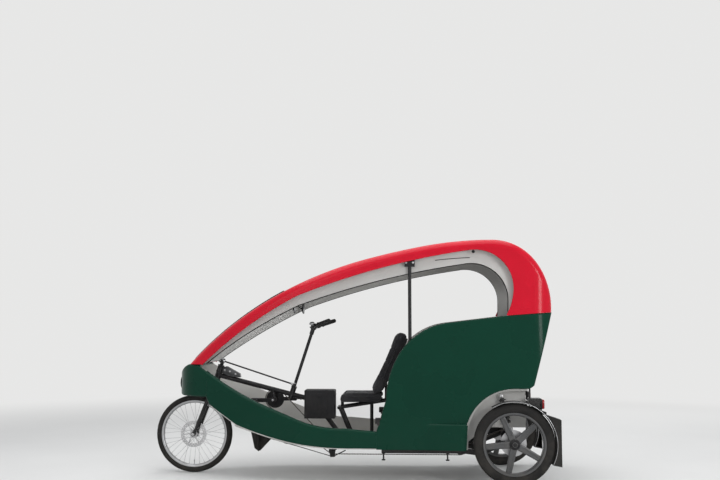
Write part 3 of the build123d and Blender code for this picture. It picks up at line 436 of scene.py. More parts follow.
@dataclass(frozen=True)
class Glazing(Finish):
    """Clear or tinted sheet with a soft haze."""

    through: float = 1.0
    ior: float = 1.49

    def _settle(self, board: Board, shader: Node) -> None:
        """Joins a tinted, slightly hazed clear shader.

        Args:
            board: Material's board.
            shader: Its Principled BSDF.
        """
        shader.inputs["Transmission Weight"].default_value = self.through
        shader.inputs["IOR"].default_value = self.ior
        skin = SHELF.place(board, Effect.GRAIN, Scale=self.grain_scale, Patch=self.patch)
        board.link(board.blend(skin.outputs["Tone"], self.colour, self.second),
                   shader.inputs["Base Color"])
        haze = board.maths("MULTIPLY_ADD", skin.outputs["Tone"], 0.04, self.roughness)
        board.link(haze, shader.inputs["Roughness"])


FINISHES = {finish.slot: finish for finish in (
    Finish(Slot.GREEN_BODY, (0.0004, 0.035, 0.0195), (0.0005, 0.038, 0.021), 0.24, coat=0.12,
           specular=0.08, grain_scale=420.0, grain_depth=0.00002, dust=0.03, dust_reach=0.6,
           inner=(0.7, 0.69, 0.66)),
    Finish(Slot.RED_SHELL, (0.56, 0.002, 0.018), (0.6, 0.003, 0.021), 0.22, coat=0.24,
           specular=0.1, grain_scale=420.0, grain_depth=0.00002, dust=0.02, dust_reach=1.2),
    Finish(Slot.LIGHT_PLASTIC, (0.54, 0.532, 0.512), (0.58, 0.573, 0.555), 0.5,
           grain_scale=900.0, grain_depth=0.00004, dust=0.3, dust_reach=0.7),
    Glazing(Slot.CLEAR_SCREEN, (0.93, 0.95, 0.97), (0.9, 0.92, 0.95), 0.03),
    Glazing(Slot.SMOKED_SCREEN, (0.1, 0.1, 0.11), (0.14, 0.14, 0.15), 0.05),
    Finish(Slot.BLACK_STEEL, (0.012, 0.012, 0.013), (0.022, 0.022, 0.023), 0.38, coat=0.2,
           grain_scale=1500.0, dust=0.16, dust_reach=0.8, rub=0.35, rub_colour=(0.14, 0.135, 0.13)),
    Finish(Slot.BLACK_PLASTIC, (0.014, 0.014, 0.015), (0.024, 0.024, 0.026), 0.5,
           grain_scale=1100.0, grain_depth=0.00006, dust=0.14),
    Finish(Slot.RUBBER, (0.016, 0.016, 0.016), (0.03, 0.029, 0.028), 0.72,
           grain_scale=800.0, grain_depth=0.00008, dust=0.16),
    Finish(Slot.TYRE, (0.014, 0.014, 0.014), (0.024, 0.023, 0.022), 0.75,
           grain_scale=900.0, grain_depth=0.0001, dust=0.2, dust_reach=0.75),
    Finish(Slot.SILVER_ALLOY, (0.36, 0.37, 0.38), (0.43, 0.43, 0.44), 0.28, metallic=1.0,
           grain_scale=1600.0, dust=0.3),
    Finish(Slot.GREY_ALLOY, (0.07, 0.072, 0.075), (0.092, 0.094, 0.097), 0.34, metallic=0.3,
           coat=0.3, grain_scale=1300.0, grain_depth=0.00004, dust=0.4),
    Finish(Slot.DISC_STEEL, (0.42, 0.42, 0.43), (0.52, 0.52, 0.53), 0.3, metallic=1.0,
           grain_scale=2500.0, dust=0.25),
    Finish(Slot.SEAT_FABRIC, (0.018, 0.018, 0.021), (0.032, 0.032, 0.036), 0.85, sheen=0.25,
           weave=True, grain_depth=0.0004, dust=0.25, dust_reach=1.2),
    Finish(Slot.BENCH_FABRIC, (0.05, 0.05, 0.055), (0.075, 0.075, 0.08), 0.85, sheen=0.3,
           weave=True, grain_depth=0.0004, dust=0.2, dust_reach=1.2),
    Glazing(Slot.LAMP_RED, (0.62, 0.012, 0.014), (0.55, 0.01, 0.012), 0.08, through=0.6),
    Glazing(Slot.LAMP_CLEAR, (0.95, 0.96, 0.97), (0.92, 0.93, 0.95), 0.04),
    Finish(Slot.CHAIN_STEEL, (0.1, 0.09, 0.08), (0.18, 0.165, 0.15), 0.42, metallic=0.9,
           grain_scale=1800.0, dust=0.5),
    Finish(Slot.MIRROR_BLACK, (0.014, 0.014, 0.015), (0.022, 0.022, 0.024), 0.42,
           grain_scale=1100.0, dust=0.25),
)}


def finish_of(slot: Slot) -> Material:
    """Material of a slot."""
    return FINISHES[slot].material()


@dataclass(frozen=True)
class TangentArc:
    """Arc on the XZ plane that leaves its start along a heading and runs to its end."""

    start: tuple[float, float]
    end: tuple[float, float]
    heading: tuple[float, float]

    def _centre(self) -> tuple[Vector, float]:
        """Centre and signed radius, positive where the arc turns left."""
        start, end = Vector(self.start), Vector(self.end)
        ahead = Vector(self.heading).normalized()
        left = Vector((-ahead.y, ahead.x))
        chord = end - start
        radius = chord.length_squared / (2.0 * chord.dot(left))
        return start + left * radius, radius

    def end_heading(self) -> tuple[float, float]:
        """Direction in which the arc arrives at its end."""
        centre, radius = self._centre()
        spoke = (Vector(self.end) - centre) / radius
        return -spoke.y, spoke.x

    def points(self, count: int) -> list[tuple[float, float]]:
        """Points along the arc, both ends included.

        Args:
            count: Number of points.

        Returns:
            The points as (x, z).
        """
        centre, _ = self._centre()
        first = Vector(self.start) - centre
        sweep = first.angle_signed(Vector(self.end) - centre)
        made = []
        for index in range(count):
            turn = -sweep * index / (count - 1)
            made.append((centre.x + first.x * math.cos(turn) - first.y * math.sin(turn),
                         centre.y + first.x * math.sin(turn) + first.y * math.cos(turn)))
        return made


def through(arc: Profile, count: int = 14) -> list[tuple[float, float]]:
    """Points on the arc through three points.

    Args:
        arc: Start, a point on the way, and end.
        count: Number of points.

    Returns:
        The points as (x, z).
    """
    (ax, az), (bx, bz), (cx, cz) = arc
    scale = 2.0 * (ax * (bz - cz) + bx * (cz - az) + cx * (az - bz))
    squares = (ax * ax + az * az, bx * bx + bz * bz, cx * cx + cz * cz)
    mid_x = (squares[0] * (bz - cz) + squares[1] * (cz - az) + squares[2] * (az - bz)) / scale
    mid_z = (squares[0] * (cx - bx) + squares[1] * (ax - cx) + squares[2] * (bx - ax)) / scale
    start = math.atan2(az - mid_z, ax - mid_x)
    way = (math.atan2(bz - mid_z, bx - mid_x) - start) % math.tau
    whole = (math.atan2(cz - mid_z, cx - mid_x) - start) % math.tau
    if way > whole:
        whole -= math.tau
    reach = math.hypot(ax - mid_x, az - mid_z)
    turns = [start + whole * index / (count - 1) for index in range(count)]
    return [(mid_x + reach * math.cos(turn), mid_z + reach * math.sin(turn)) for turn in turns]


@dataclass(frozen=True)
class CabPlan:
    """Cab outline seen from above: straight sides, a long bow and a nose arc."""

    half: float = 0.45
    straight_x: float = 0.25
    nose_side: tuple[float, float] = (1.198, 0.24)
    rear_x: float = -1.53
    corner: float = 0.16

    def half_at(self, x: float, inset: float = 0.0) -> float:
        """Half width at a place along the vehicle.

        Args:
            x: Place along the vehicle.
            inset: Distance by which the outline is pulled in.

        Returns:
            Distance from the middle plane.
        """
        run = self.nose_side[0] - self.straight_x
        drop = self.half - self.nose_side[1]
        bow = (run ** 2 + drop ** 2) / (2.0 * drop)
        nose = self.nose_side[1] * bow / (bow - drop)
        middle = self.nose_side[0] - nose * run / bow
        if x < self.rear_x + self.corner:
            into = self.rear_x + self.corner - x
            curve = max((self.corner - inset) ** 2 - into ** 2, 0.0)
            return self.half - self.corner + math.sqrt(curve)
        if x < self.straight_x:
            return self.half - inset
        if x < middle + (nose - inset) * run / bow:
            return self.half - bow + math.sqrt((bow - inset) ** 2 - (x - self.straight_x) ** 2)
        return math.sqrt(max((nose - inset) ** 2 - (x - middle) ** 2, 0.0))

    def line(self, outline: Profile, inset: float) -> list[Vector]:
        """Lays a side outline on the cab's left side, pulled in by inset."""
        return [Vector((x, self.half_at(x, inset), z)) for x, z in outline]


PLAN = CabPlan()


def at(base: Point, x: float = 0.0, y: float = 0.0, z: float = 0.0) -> Vector:
    """Point moved from a base."""
    return Vector(base) + Vector((x, y, z))


def hoop(half: Profile) -> list[tuple[float, float]]:
    """Closed ring section from its half: the half, its mirror image and its first point."""
    return [*half, *((radius, -side) for radius, side in reversed(half)), half[0]]


def band(inner: float, outer: float, crown: float, half: float) -> list[tuple[float, float]]:
    """Closed section of a ring with a crowned rim.

    Args:
        inner: Bore radius.
        outer: Radius at the rim's edges.
        crown: Radius in the rim's middle.
        half: Half the width.

    Returns:
        Points as (radius, along the axis).
    """
    return [(inner, -half), (outer, -half), (crown, 0.0), (outer, half), (inner, half),
            (inner, -half)]


def outward(x: float, y: float, z: float, face: int = 1) -> list[Spot]:
    """Bolt places on both sides, their heads facing outwards (1) or inwards (-1)."""
    return [((x, sign * y, z), (0.0, sign * face, 0.0)) for _, sign in SIDES]


def bolt_circle(centre: Point, radius: float, count: int, sign: int,
                start: float = 0.0) -> list[Spot]:
    """Bolt places round an axis that lies across the vehicle.

    Args:
        centre: Middle of the circle.
        radius: Circle's radius.
        count: Number of bolts.
        sign: 1 where the heads face left and -1 where they face right.
        start: Angle of the first bolt.

    Returns:
        Places with the directions that the heads face.
    """
    turns = [start + math.tau * index / count for index in range(count)]
    return [(at(centre, radius * math.cos(turn), 0.0, radius * math.sin(turn)),
             (0.0, sign, 0.0)) for turn in turns]


class Shop:
    """Modelling moves on Blender's operators; each piece ends at the origin, placed by its mesh."""

    @staticmethod
    def clear() -> None:
        """Deselects everything."""
        bpy.ops.object.select_all(action="DESELECT")

    @staticmethod
    def pick(*pieces: Piece) -> None:
        """Selects these pieces alone, the first one active."""
        Shop.clear()
        for piece in pieces:
            piece.select_set(True)
        bpy.context.view_layer.objects.active = pieces[0]

    @staticmethod
    def settle(piece: Piece) -> Piece:
        """Puts the piece's place into its mesh."""
        Shop.pick(piece)
        bpy.ops.object.transform_apply(location=True, rotation=True, scale=True)
        return piece

    @staticmethod
    def modify(piece: Piece, kind: str, **settings: object) -> Piece:
        """Adds a modifier and applies it.

        Args:
            piece: Piece to change.
            kind: Modifier type.
            settings: Modifier properties by name.

        Returns:
            The piece.
        """
        Shop.pick(piece)
        added = piece.modifiers.new(kind.lower(), kind)
        for name, value in settings.items():
            setattr(added, name, value)
        bpy.ops.object.modifier_apply(modifier=added.name)
        return piece

    @staticmethod
    def ease(piece: Piece, edge: float, angle: float = 30.0) -> Piece:
        """Rounds the edges whose angle in degrees is larger than the one given."""
        return Shop.modify(piece, "BEVEL", width=edge, segments=2, limit_method="ANGLE",
                           angle_limit=math.radians(angle))

    @staticmethod
    def enter(piece: Piece) -> None:
        """Enters edit mode with everything selected."""
        Shop.pick(piece)
        bpy.ops.object.mode_set(mode="EDIT")
        bpy.ops.mesh.select_mode(type="VERT")
        bpy.ops.mesh.select_all(action="SELECT")

    @staticmethod
    def choose(piece: Piece, test: FaceTest) -> None:
        """Enters edit mode with the faces that pass a test selected.

        Args:
            piece: Piece to edit.
            test: Says whether a face is wanted.
        """
        Shop.enter(piece)
        bpy.ops.mesh.select_mode(type="FACE")
        bpy.ops.mesh.select_all(action="DESELECT")
        Shop.leave()
        for face in piece.data.polygons:
            face.select = test(face)
        bpy.ops.object.mode_set(mode="EDIT")

    @staticmethod
    def leave() -> None:
        """Leaves edit mode."""
        bpy.ops.object.mode_set(mode="OBJECT")

    @staticmethod
    def inset(piece: Piece, test: FaceTest,
              *steps: tuple[float, float], each: bool = False) -> Piece:
        """Insets the faces that pass a test.

        Args:
            piece: Piece to change.
            test: Says whether a face is wanted.
            steps: Thickness and depth of each inset, in turn.
            each: Whether each face is inset by itself.

        Returns:
            The piece.
        """
        Shop.choose(piece, test)
        for thickness, depth in steps:
            bpy.ops.mesh.inset(thickness=thickness, depth=depth, use_individual=each)
        Shop.leave()
        return piece

    @staticmethod
    def block(centre: Point, size: Point, edge: float = 0.002, turn: Point = (0, 0, 0)) -> Piece:
        """Block with rounded edges.

        Args:
            centre: Middle.
            size: Whole size along each axis, before turning.
            edge: Rounding radius.
            turn: Euler angles.

        Returns:
            The block.
        """
        Shop.clear()
        bpy.ops.mesh.primitive_cube_add(size=1.0, location=centre, rotation=turn, scale=size)
        return Shop.ease(Shop.settle(bpy.context.active_object), edge)

    @staticmethod
    def bar(start: Point, end: Point, radius: float, sides: int = 24, edge: float = 0.001) -> Piece:
        """Round bar with eased ends between two points.

        Args:
            start: Middle of one end.
            end: Middle of the other.
            radius: Radius.
            sides: Faces round it.
            edge: Rounding of the ends; 0 leaves them sharp.

        Returns:
            The bar.
        """
        run = Vector(end) - Vector(start)
        Shop.clear()
        bpy.ops.mesh.primitive_cylinder_add(
            vertices=sides, radius=radius, depth=run.length,
            location=(Vector(start) + Vector(end)) / 2,
            rotation=run.to_track_quat("Z", "Y").to_euler())
        piece = Shop.settle(bpy.context.active_object)
        return Shop.ease(piece, edge, 50.0) if edge else piece

    @staticmethod
    def trace(points: Sequence[Point]) -> Piece:
        """Draws a line of edges by extruding a point, and stays in edit mode.

        Args:
            points: Points in order.

        Returns:
            The line.
        """
        Shop.clear()
        bpy.ops.mesh.primitive_plane_add(size=0.001)
        piece = bpy.context.active_object
        Shop.enter(piece)
        bpy.ops.mesh.merge(type="CENTER")
        bpy.ops.transform.translate(value=points[0])
        for old, new in zip(points, points[1:]):
            bpy.ops.mesh.extrude_region_move(
                TRANSFORM_OT_translate={"value": tuple(Vector(new) - Vector(old))})
        bpy.ops.mesh.select_all(action="SELECT")
        return piece

    @staticmethod
    def close() -> None:
        """Points all faces outwards and leaves edit mode."""
        bpy.ops.mesh.select_all(action="SELECT")
        bpy.ops.mesh.normals_make_consistent(inside=False)
        Shop.leave()

    @staticmethod
    def lathe(profile: Profile, centre: Point = (0, 0, 0), axis: Point = ALONG_Y,
              steps: int = 64) -> Piece:
        """Spins a section about an axis.

        Args:
            profile: Points as (radius, along the axis); a closed ring repeats its first point.
            centre: Point on the axis from which the profile is measured.
            axis: Direction of the axis.
            steps: Steps round.

        Returns:
            The closed piece.
        """
        piece = Shop.trace([(radius, 0, along) for radius, along in profile])
        bpy.ops.mesh.spin(steps=steps, angle=math.tau, center=(0, 0, 0), axis=(0, 0, 1))
        bpy.ops.mesh.select_all(action="SELECT")
        bpy.ops.mesh.remove_doubles(threshold=2e-6)
        bpy.ops.mesh.delete_loose(use_verts=True, use_edges=True, use_faces=False)
        Shop.close()
        piece.rotation_euler = Vector(axis).to_track_quat("Z", "Y").to_euler()
        piece.location = centre
        return Shop.settle(piece)

    @staticmethod
    def plate(outline: Profile, middle: float, thickness: float, edge: float = 0.002) -> Piece:
        """Flat plate that stands along the vehicle.

        Args:
            outline: Corners as (x, z), in order.
            middle: Y of the plate's middle plane.
            thickness: Thickness across the vehicle.
            edge: Width of the rounded edges.

        Returns:
            The closed plate.
        """
        piece = Shop.trace([(x, middle - thickness / 2, z) for x, z in outline])
        bpy.ops.mesh.edge_face_add()
        bpy.ops.mesh.extrude_region_move(TRANSFORM_OT_translate={"value": (0, thickness, 0)})
        Shop.close()
        return Shop.settle(Shop.ease(piece, edge, 40.0))

    @staticmethod
    def pipe(points: Sequence[Point], radius: float, closed: bool = False,
             smooth: bool = False, sides: int = 3) -> Piece:
        """Round rod along points, made a mesh.

        Args:
            points: Points that it follows.
            radius: Rod radius.
            closed: Whether it joins up with its start.
            smooth: Whether it runs as one smooth line near the points.
            sides: Bevel resolution.

        Returns:
            The rod.
        """
        line = bpy.data.curves.new("rod", "CURVE")
        line.dimensions = "3D"
        line.bevel_depth = radius
        line.bevel_resolution = sides
        line.use_fill_caps = True
        spline = line.splines.new("NURBS" if smooth else "POLY")
        spline.points.add(len(points) - 1)
        for knot, point in zip(spline.points, points):
            knot.co = (*point, 1.0)
        spline.use_cyclic_u = closed
        if smooth:
            spline.order_u = 3
            spline.use_endpoint_u = not closed
        piece = bpy.data.objects.new("rod", line)
        bpy.context.scene.collection.objects.link(piece)
        Shop.pick(piece)
        bpy.ops.object.convert(target="MESH")
        Shop.enter(piece)
        bpy.ops.mesh.remove_doubles(threshold=1e-6)
        Shop.close()
        return piece

    @staticmethod
    def copies(model: Piece, places: Iterable[Matrix]) -> list[Piece]:
        """Copies a model, each copy with its own mesh, to each place; the model goes.

        Args:
            model: Piece to copy.
            places: Transforms of the copies.

        Returns:
            The copies.
        """
        made = []
        for place in places:
            Shop.pick(model)
            bpy.ops.object.duplicate()
            copy = bpy.context.active_object
            copy.data.transform(place)
            if place.determinant() < 0:
                copy.data.flip_normals()
            made.append(copy)
        bpy.data.objects.remove(model)
        return made

    @staticmethod
    def row(model: Piece, count: int, step: Point) -> list[Piece]:
        """Copies of a model in a straight row, the first in its own place."""
        return Shop.copies(model, [Matrix.Translation(Vector(step) * index)
                                   for index in range(count)])

    @staticmethod
    def ring(model: Piece, count: int, centre: Point, start: float = 0.0) -> list[Piece]:
        """Copies of a model evenly round an axis that lies across the vehicle.

        Args:
            model: Piece to copy.
            count: Number of copies.
            centre: Point on the axis.
            start: Angle of the first copy.

        Returns:
            The copies.
        """
        there = Matrix.Translation(centre)
        return Shop.copies(model, [
            there @ Matrix.Rotation(start + math.tau * index / count, 4, "Y") @ there.inverted()
            for index in range(count)])

    @staticmethod
    def join(pieces: Sequence[Piece]) -> Piece:
        """Joins pieces into the first of them."""
        Shop.pick(*pieces)
        if len(pieces) > 1:
            bpy.ops.object.join()
        return pieces[0]

    @staticmethod
    def mount(name: str, pieces: Sequence[Piece], slot: Slot, body: str = "cab",
              *replaced: str, both: bool = False, crease: float = 35.0) -> Piece:
        """Joins parts into a finished piece, smooths and paints it and mounts it on its body.

        Args:
            name: Piece name.
            pieces: Its parts.
            slot: Record slot that it takes its finish from.
            body: CAD body that it rides on.
            replaced: CAD nodes that it stands for.
            both: Whether it also has a mirror image on the vehicle's other side.
            crease: Largest angle that is shaded smooth, in degrees.

        Returns:
            The piece.
        """
        piece = Shop.join(pieces)
        if both:
            mirror = Matrix.Scale(-1.0, 4, Vector(ALONG_Y))
            piece = Shop.join(Shop.copies(piece, (Matrix.Identity(4), mirror)))
        piece.name = name
        piece.data.name = name
        Shop.pick(piece)
        bpy.ops.object.shade_smooth_by_angle(angle=math.radians(crease))
        piece.data.materials.clear()
        piece.data.materials.append(finish_of(slot))
        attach(piece, body)
        if replaced:
            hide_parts(*replaced)
        log.info("%s: %d faces, rides on %s", name, len(piece.data.polygons), body)
        return piece

    @staticmethod
    def hex_bolt(place: Point, axis: Point, across: float = 0.013) -> Piece:
        """Hexagon bolt head on a washer.

        Args:
            place: Where the washer rests.
            axis: Direction that the head faces.
            across: Size across the flats.

        Returns:
            The bolt head.
        """
        ahead = Vector(axis).normalized()
        base = Vector(place)
        washer = Shop.lathe(((0, 0), (across * 0.72, 0), (across * 0.72, 0.0012),
                             (across * 0.5, 0.0016), (0, 0.0016)), base, ahead, 16)
        head = Shop.bar(base + ahead * 0.0014, base + ahead * 0.0074, across / math.sqrt(3.0), 6,
                        0.0008)
        return Shop.join([head, washer])

    @staticmethod
    def bolts(name: str, spots: Iterable[Spot], body: str = "cab",
              slot: Slot = Slot.DISC_STEEL, across: float = 0.013) -> None:
        """Sets a bolt at each place and mounts them as one piece.

        Args:
            name: Piece name.
            spots: Places with the directions that the heads face.
            body: CAD body that carries them.
            slot: Finish.
            across: Size across the flats.
        """
        Shop.mount(name, [Shop.hex_bolt(place, axis, across) for place, axis in spots], slot, body)


@dataclass
class FrontWheel:
    """Bicycle wheel: treaded tyre, box rim, laced spokes, spool hub and drilled rotor."""

    centre: Point = FRONT_AXLE
    tyre_r: float = 0.2985
    bead_r: float = 0.2563
    rim_r: float = 0.2557
    spoke_count: int = 36
    spoke_r: float = 0.0011
    spoke_length: float = 0.212
    spoke_lean: float = math.radians(62.0)
    flange_r: float = 0.026
    flange_y: float = 0.0285
    nipple_r: float = 0.2395
    rotor_y: float = 0.039

    def build(self) -> None:
        """Models the wheel and mounts it."""
        self._tyre()
        self._rim()
        self._spokes()
        self._hub()
        self._rotor()

    def _tyre(self) -> None:
        """Tyre with side ribs and a crown of small blocks."""
        bead, top = self.bead_r, self.tyre_r
        section = hoop((
            (bead, 0.0176), (bead + 0.0045, 0.0176), (bead + 0.0075, 0.02),
            (bead + 0.0085, 0.0196), (bead + 0.013, 0.0224), (bead + 0.02, 0.0236),
            (bead + 0.027, 0.0226), (bead + 0.0325, 0.0196), (top - 0.0046, 0.015),
            (top - 0.0018, 0.0095), (top - 0.0004, 0.0035)))
        crown = top - 0.006

        def on_crown(face: Face) -> bool:
            """Whether a face lies on the running surface."""
            spot = face.center - Vector(self.centre)
            return math.hypot(spot.x, spot.z) > crown

        tyre = Shop.inset(Shop.lathe(section, self.centre, steps=108), on_crown,
                          (0.0011, 0.0014), each=True)
        Shop.mount("front_tyre_tread", [tyre], Slot.TYRE, "front_wheel", "front_tyre", crease=28.0)

    def _rim(self) -> None:
        """Box rim with rolled flanges, and its valve."""
        seat = self.rim_r
        rim = Shop.lathe(hoop((
            (seat, 0.0181), (seat + 0.0026, 0.0181), (seat + 0.003, 0.019),
            (seat + 0.0026, 0.0204), (seat - 0.001, 0.0207), (seat - 0.009, 0.0192),
            (seat - 0.014, 0.0145), (seat - 0.0172, 0.007))), self.centre, steps=96)
        foot = at(self.centre, z=0.017 - seat)
        stem = Shop.bar(foot, at(foot, z=0.034), 0.0028, 12)
        cap = Shop.bar(at(foot, z=0.02), at(foot, z=0.036), 0.0042, 10)
        Shop.mount("front_rim_box", [rim, stem, cap], Slot.SILVER_ALLOY, "front_wheel", "front_rim")

    def _spokes(self) -> None:
        """Laced spokes with their nipples."""
        length = self.spoke_length
        wire = Shop.bar((0, 0, 0), (0, 0, length), self.spoke_r, 8, 0.0003)
        elbow = Shop.bar((0, -0.004, 0.0005), (0, 0.001, 0.0005), self.spoke_r * 1.3, 8, 0.0003)
        nipple = Shop.lathe(((0, 0), (0.0016, 0), (0.0023, 0.001), (0.0023, 0.011), (0, 0.012)),
                            (0, 0, length - 0.009), ALONG_Z, 8)
        model = Shop.join([wire, elbow, nipple])
        places = []
        for index in range(self.spoke_count):
            turn = math.tau * index / self.spoke_count
            flange = self.flange_y if index % 2 else -self.flange_y
            lean = turn + (self.spoke_lean if index % 4 < 2 else -self.spoke_lean)
            foot = Vector((self.flange_r * math.cos(lean), flange, self.flange_r * math.sin(lean)))
            run = Vector((self.nipple_r * math.cos(turn), flange / 8,
                          self.nipple_r * math.sin(turn))) - foot
            stretch = Matrix.Scale(run.length / length, 4, Vector(ALONG_Z))
            spin = run.to_track_quat("Z", "Y").to_matrix().to_4x4()
            places.append(Matrix.Translation(Vector(self.centre) + foot) @ spin @ stretch)
        Shop.mount("laced_spokes", Shop.copies(model, places), Slot.SILVER_ALLOY, "front_wheel")

    def _hub(self) -> None:
        """Spool hub with raised flanges, and the axle's nuts."""
        spool = hoop((
            (0, 0.0372), (0.0095, 0.0372), (0.015, 0.035), (0.0155, 0.0312),
            (0.029, 0.03), (0.0298, 0.0285), (0.029, 0.027), (0.0165, 0.0255),
            (0.0135, 0.02), (0.0125, 0.008)))[:-1]
        Shop.mount("front_hub_spool", [Shop.lathe(spool, self.centre, steps=48)],
                   Slot.BLACK_STEEL, "front_wheel")
        Shop.bolts("front_axle_nuts", outward(self.centre[0], 0.0705, self.centre[2]), "fork",
                   across=0.017)

    def _rotor(self) -> None:
        """Brake rotor: drilled friction ring on a six-armed spider."""
        spot = at(self.centre, y=self.rotor_y)
        ring = Shop.lathe(band(0.074, 0.1012, 0.1015, 0.001), spot, steps=96)
        drills = []
        for radius, bore, start in ((0.093, 0.0033, 0), (0.082, 0.003, math.tau / 48)):
            drill = Shop.bar(at(spot, radius, -0.01), at(spot, radius, 0.01), bore, 10, 0.0001)
            drills += Shop.ring(drill, 24, spot, start)
        cutter = Shop.join(drills)
        Shop.modify(ring, "BOOLEAN", object=cutter, operation="DIFFERENCE", solver="EXACT")
        bpy.data.objects.remove(cutter)
        arm = Shop.block(at(spot, 0.05), (0.056, 0.002, 0.0085), 0.0008, (0, math.radians(10.0), 0))
        carrier = Shop.lathe(band(0.0152, 0.03, 0.031, 0.0014), spot, steps=48)
        Shop.mount("front_rotor", [ring, *Shop.ring(arm, 6, spot), carrier], Slot.DISC_STEEL,
                   "front_wheel", "front_disc")
        Shop.bolts("rotor_bolts", bolt_circle(at(spot, y=0.0014), 0.0235, 6, 1), "front_wheel",
                   across=0.006)


@dataclass
class RearWheel:
    """Motor tyre on a cast wheel, with its hub cap."""

    side: str
    sign: int
    wheel_y: float = 0.497
    cap_y: float = 0.512
    bolt_y: float = 0.5362
    bead_r: float = 0.217
    tyre_r: float = 0.2932

    def build(self) -> None:
        """Models the tyre and the cap over the CAD rim."""
        self._tyre()
        self._cap()

    def _across(self, y: float) -> Vector:
        """Point on the wheel's axis, y from the vehicle's middle."""
        return Vector((REAR_AXLE[0], self.sign * y, REAR_AXLE[1]))

    def _tyre(self) -> None:
        """Tyre with side ribs, shoulder grooves and tread blocks."""
        centre, bead, top = self._across(self.wheel_y), self.bead_r, self.tyre_r
        section = hoop((
            (bead, 0.0298), (bead + 0.011, 0.0298), (bead + 0.015, 0.033),
            (bead + 0.016, 0.0326), (bead + 0.024, 0.0357), (bead + 0.033, 0.0371),
            (bead + 0.043, 0.0371), (bead + 0.052, 0.036), (bead + 0.053, 0.0352),
            (top - 0.016, 0.033), (top - 0.009, 0.0275), (top - 0.0042, 0.02),
            (top - 0.0058, 0.0186), (top - 0.0052, 0.0164), (top - 0.0016, 0.015),
            (top - 0.0004, 0.007), (top - 0.003, 0.0058), (top - 0.0028, 0.003),
            (top, 0.0018)))

        def on_tread(face: Face) -> bool:
            """Whether a face lies on the shoulders or ribs of the running surface."""
            spot = face.center - centre
            return math.hypot(spot.x, spot.z) > top - 0.013 and face.area > 0.00009

        tyre = Shop.inset(Shop.lathe(section, centre, steps=96), on_tread, (0.0013, 0.0015),
                          each=True)
        Shop.mount("rear_tread_" + self.side, [tyre], Slot.TYRE, "rear_wheel_" + self.side,
                   "rear_tyre_" + self.side, crease=28.0)

    def _cap(self) -> None:
        """Domed hub cap with a ring of bolts."""
        dome = Shop.lathe((
            (0, 0), (0.0376, 0), (0.038, 0.0165), (0.0362, 0.0196), (0.031, 0.0225),
            (0.0225, 0.03), (0.0185, 0.0345), (0.014, 0.0388), (0.006, 0.0398),
            (0, 0.04)), self._across(self.cap_y), (0, self.sign, 0), 48)
        Shop.mount("hub_cap_" + self.side, [dome], Slot.BLACK_PLASTIC, "rear_wheel_" + self.side)
        Shop.bolts("hub_bolts_" + self.side,
                   bolt_circle(self._across(self.bolt_y), 0.0275, 5, self.sign,
                               math.radians(30.1)),
                   "rear_wheel_" + self.side, Slot.BLACK_STEEL, across=0.007)


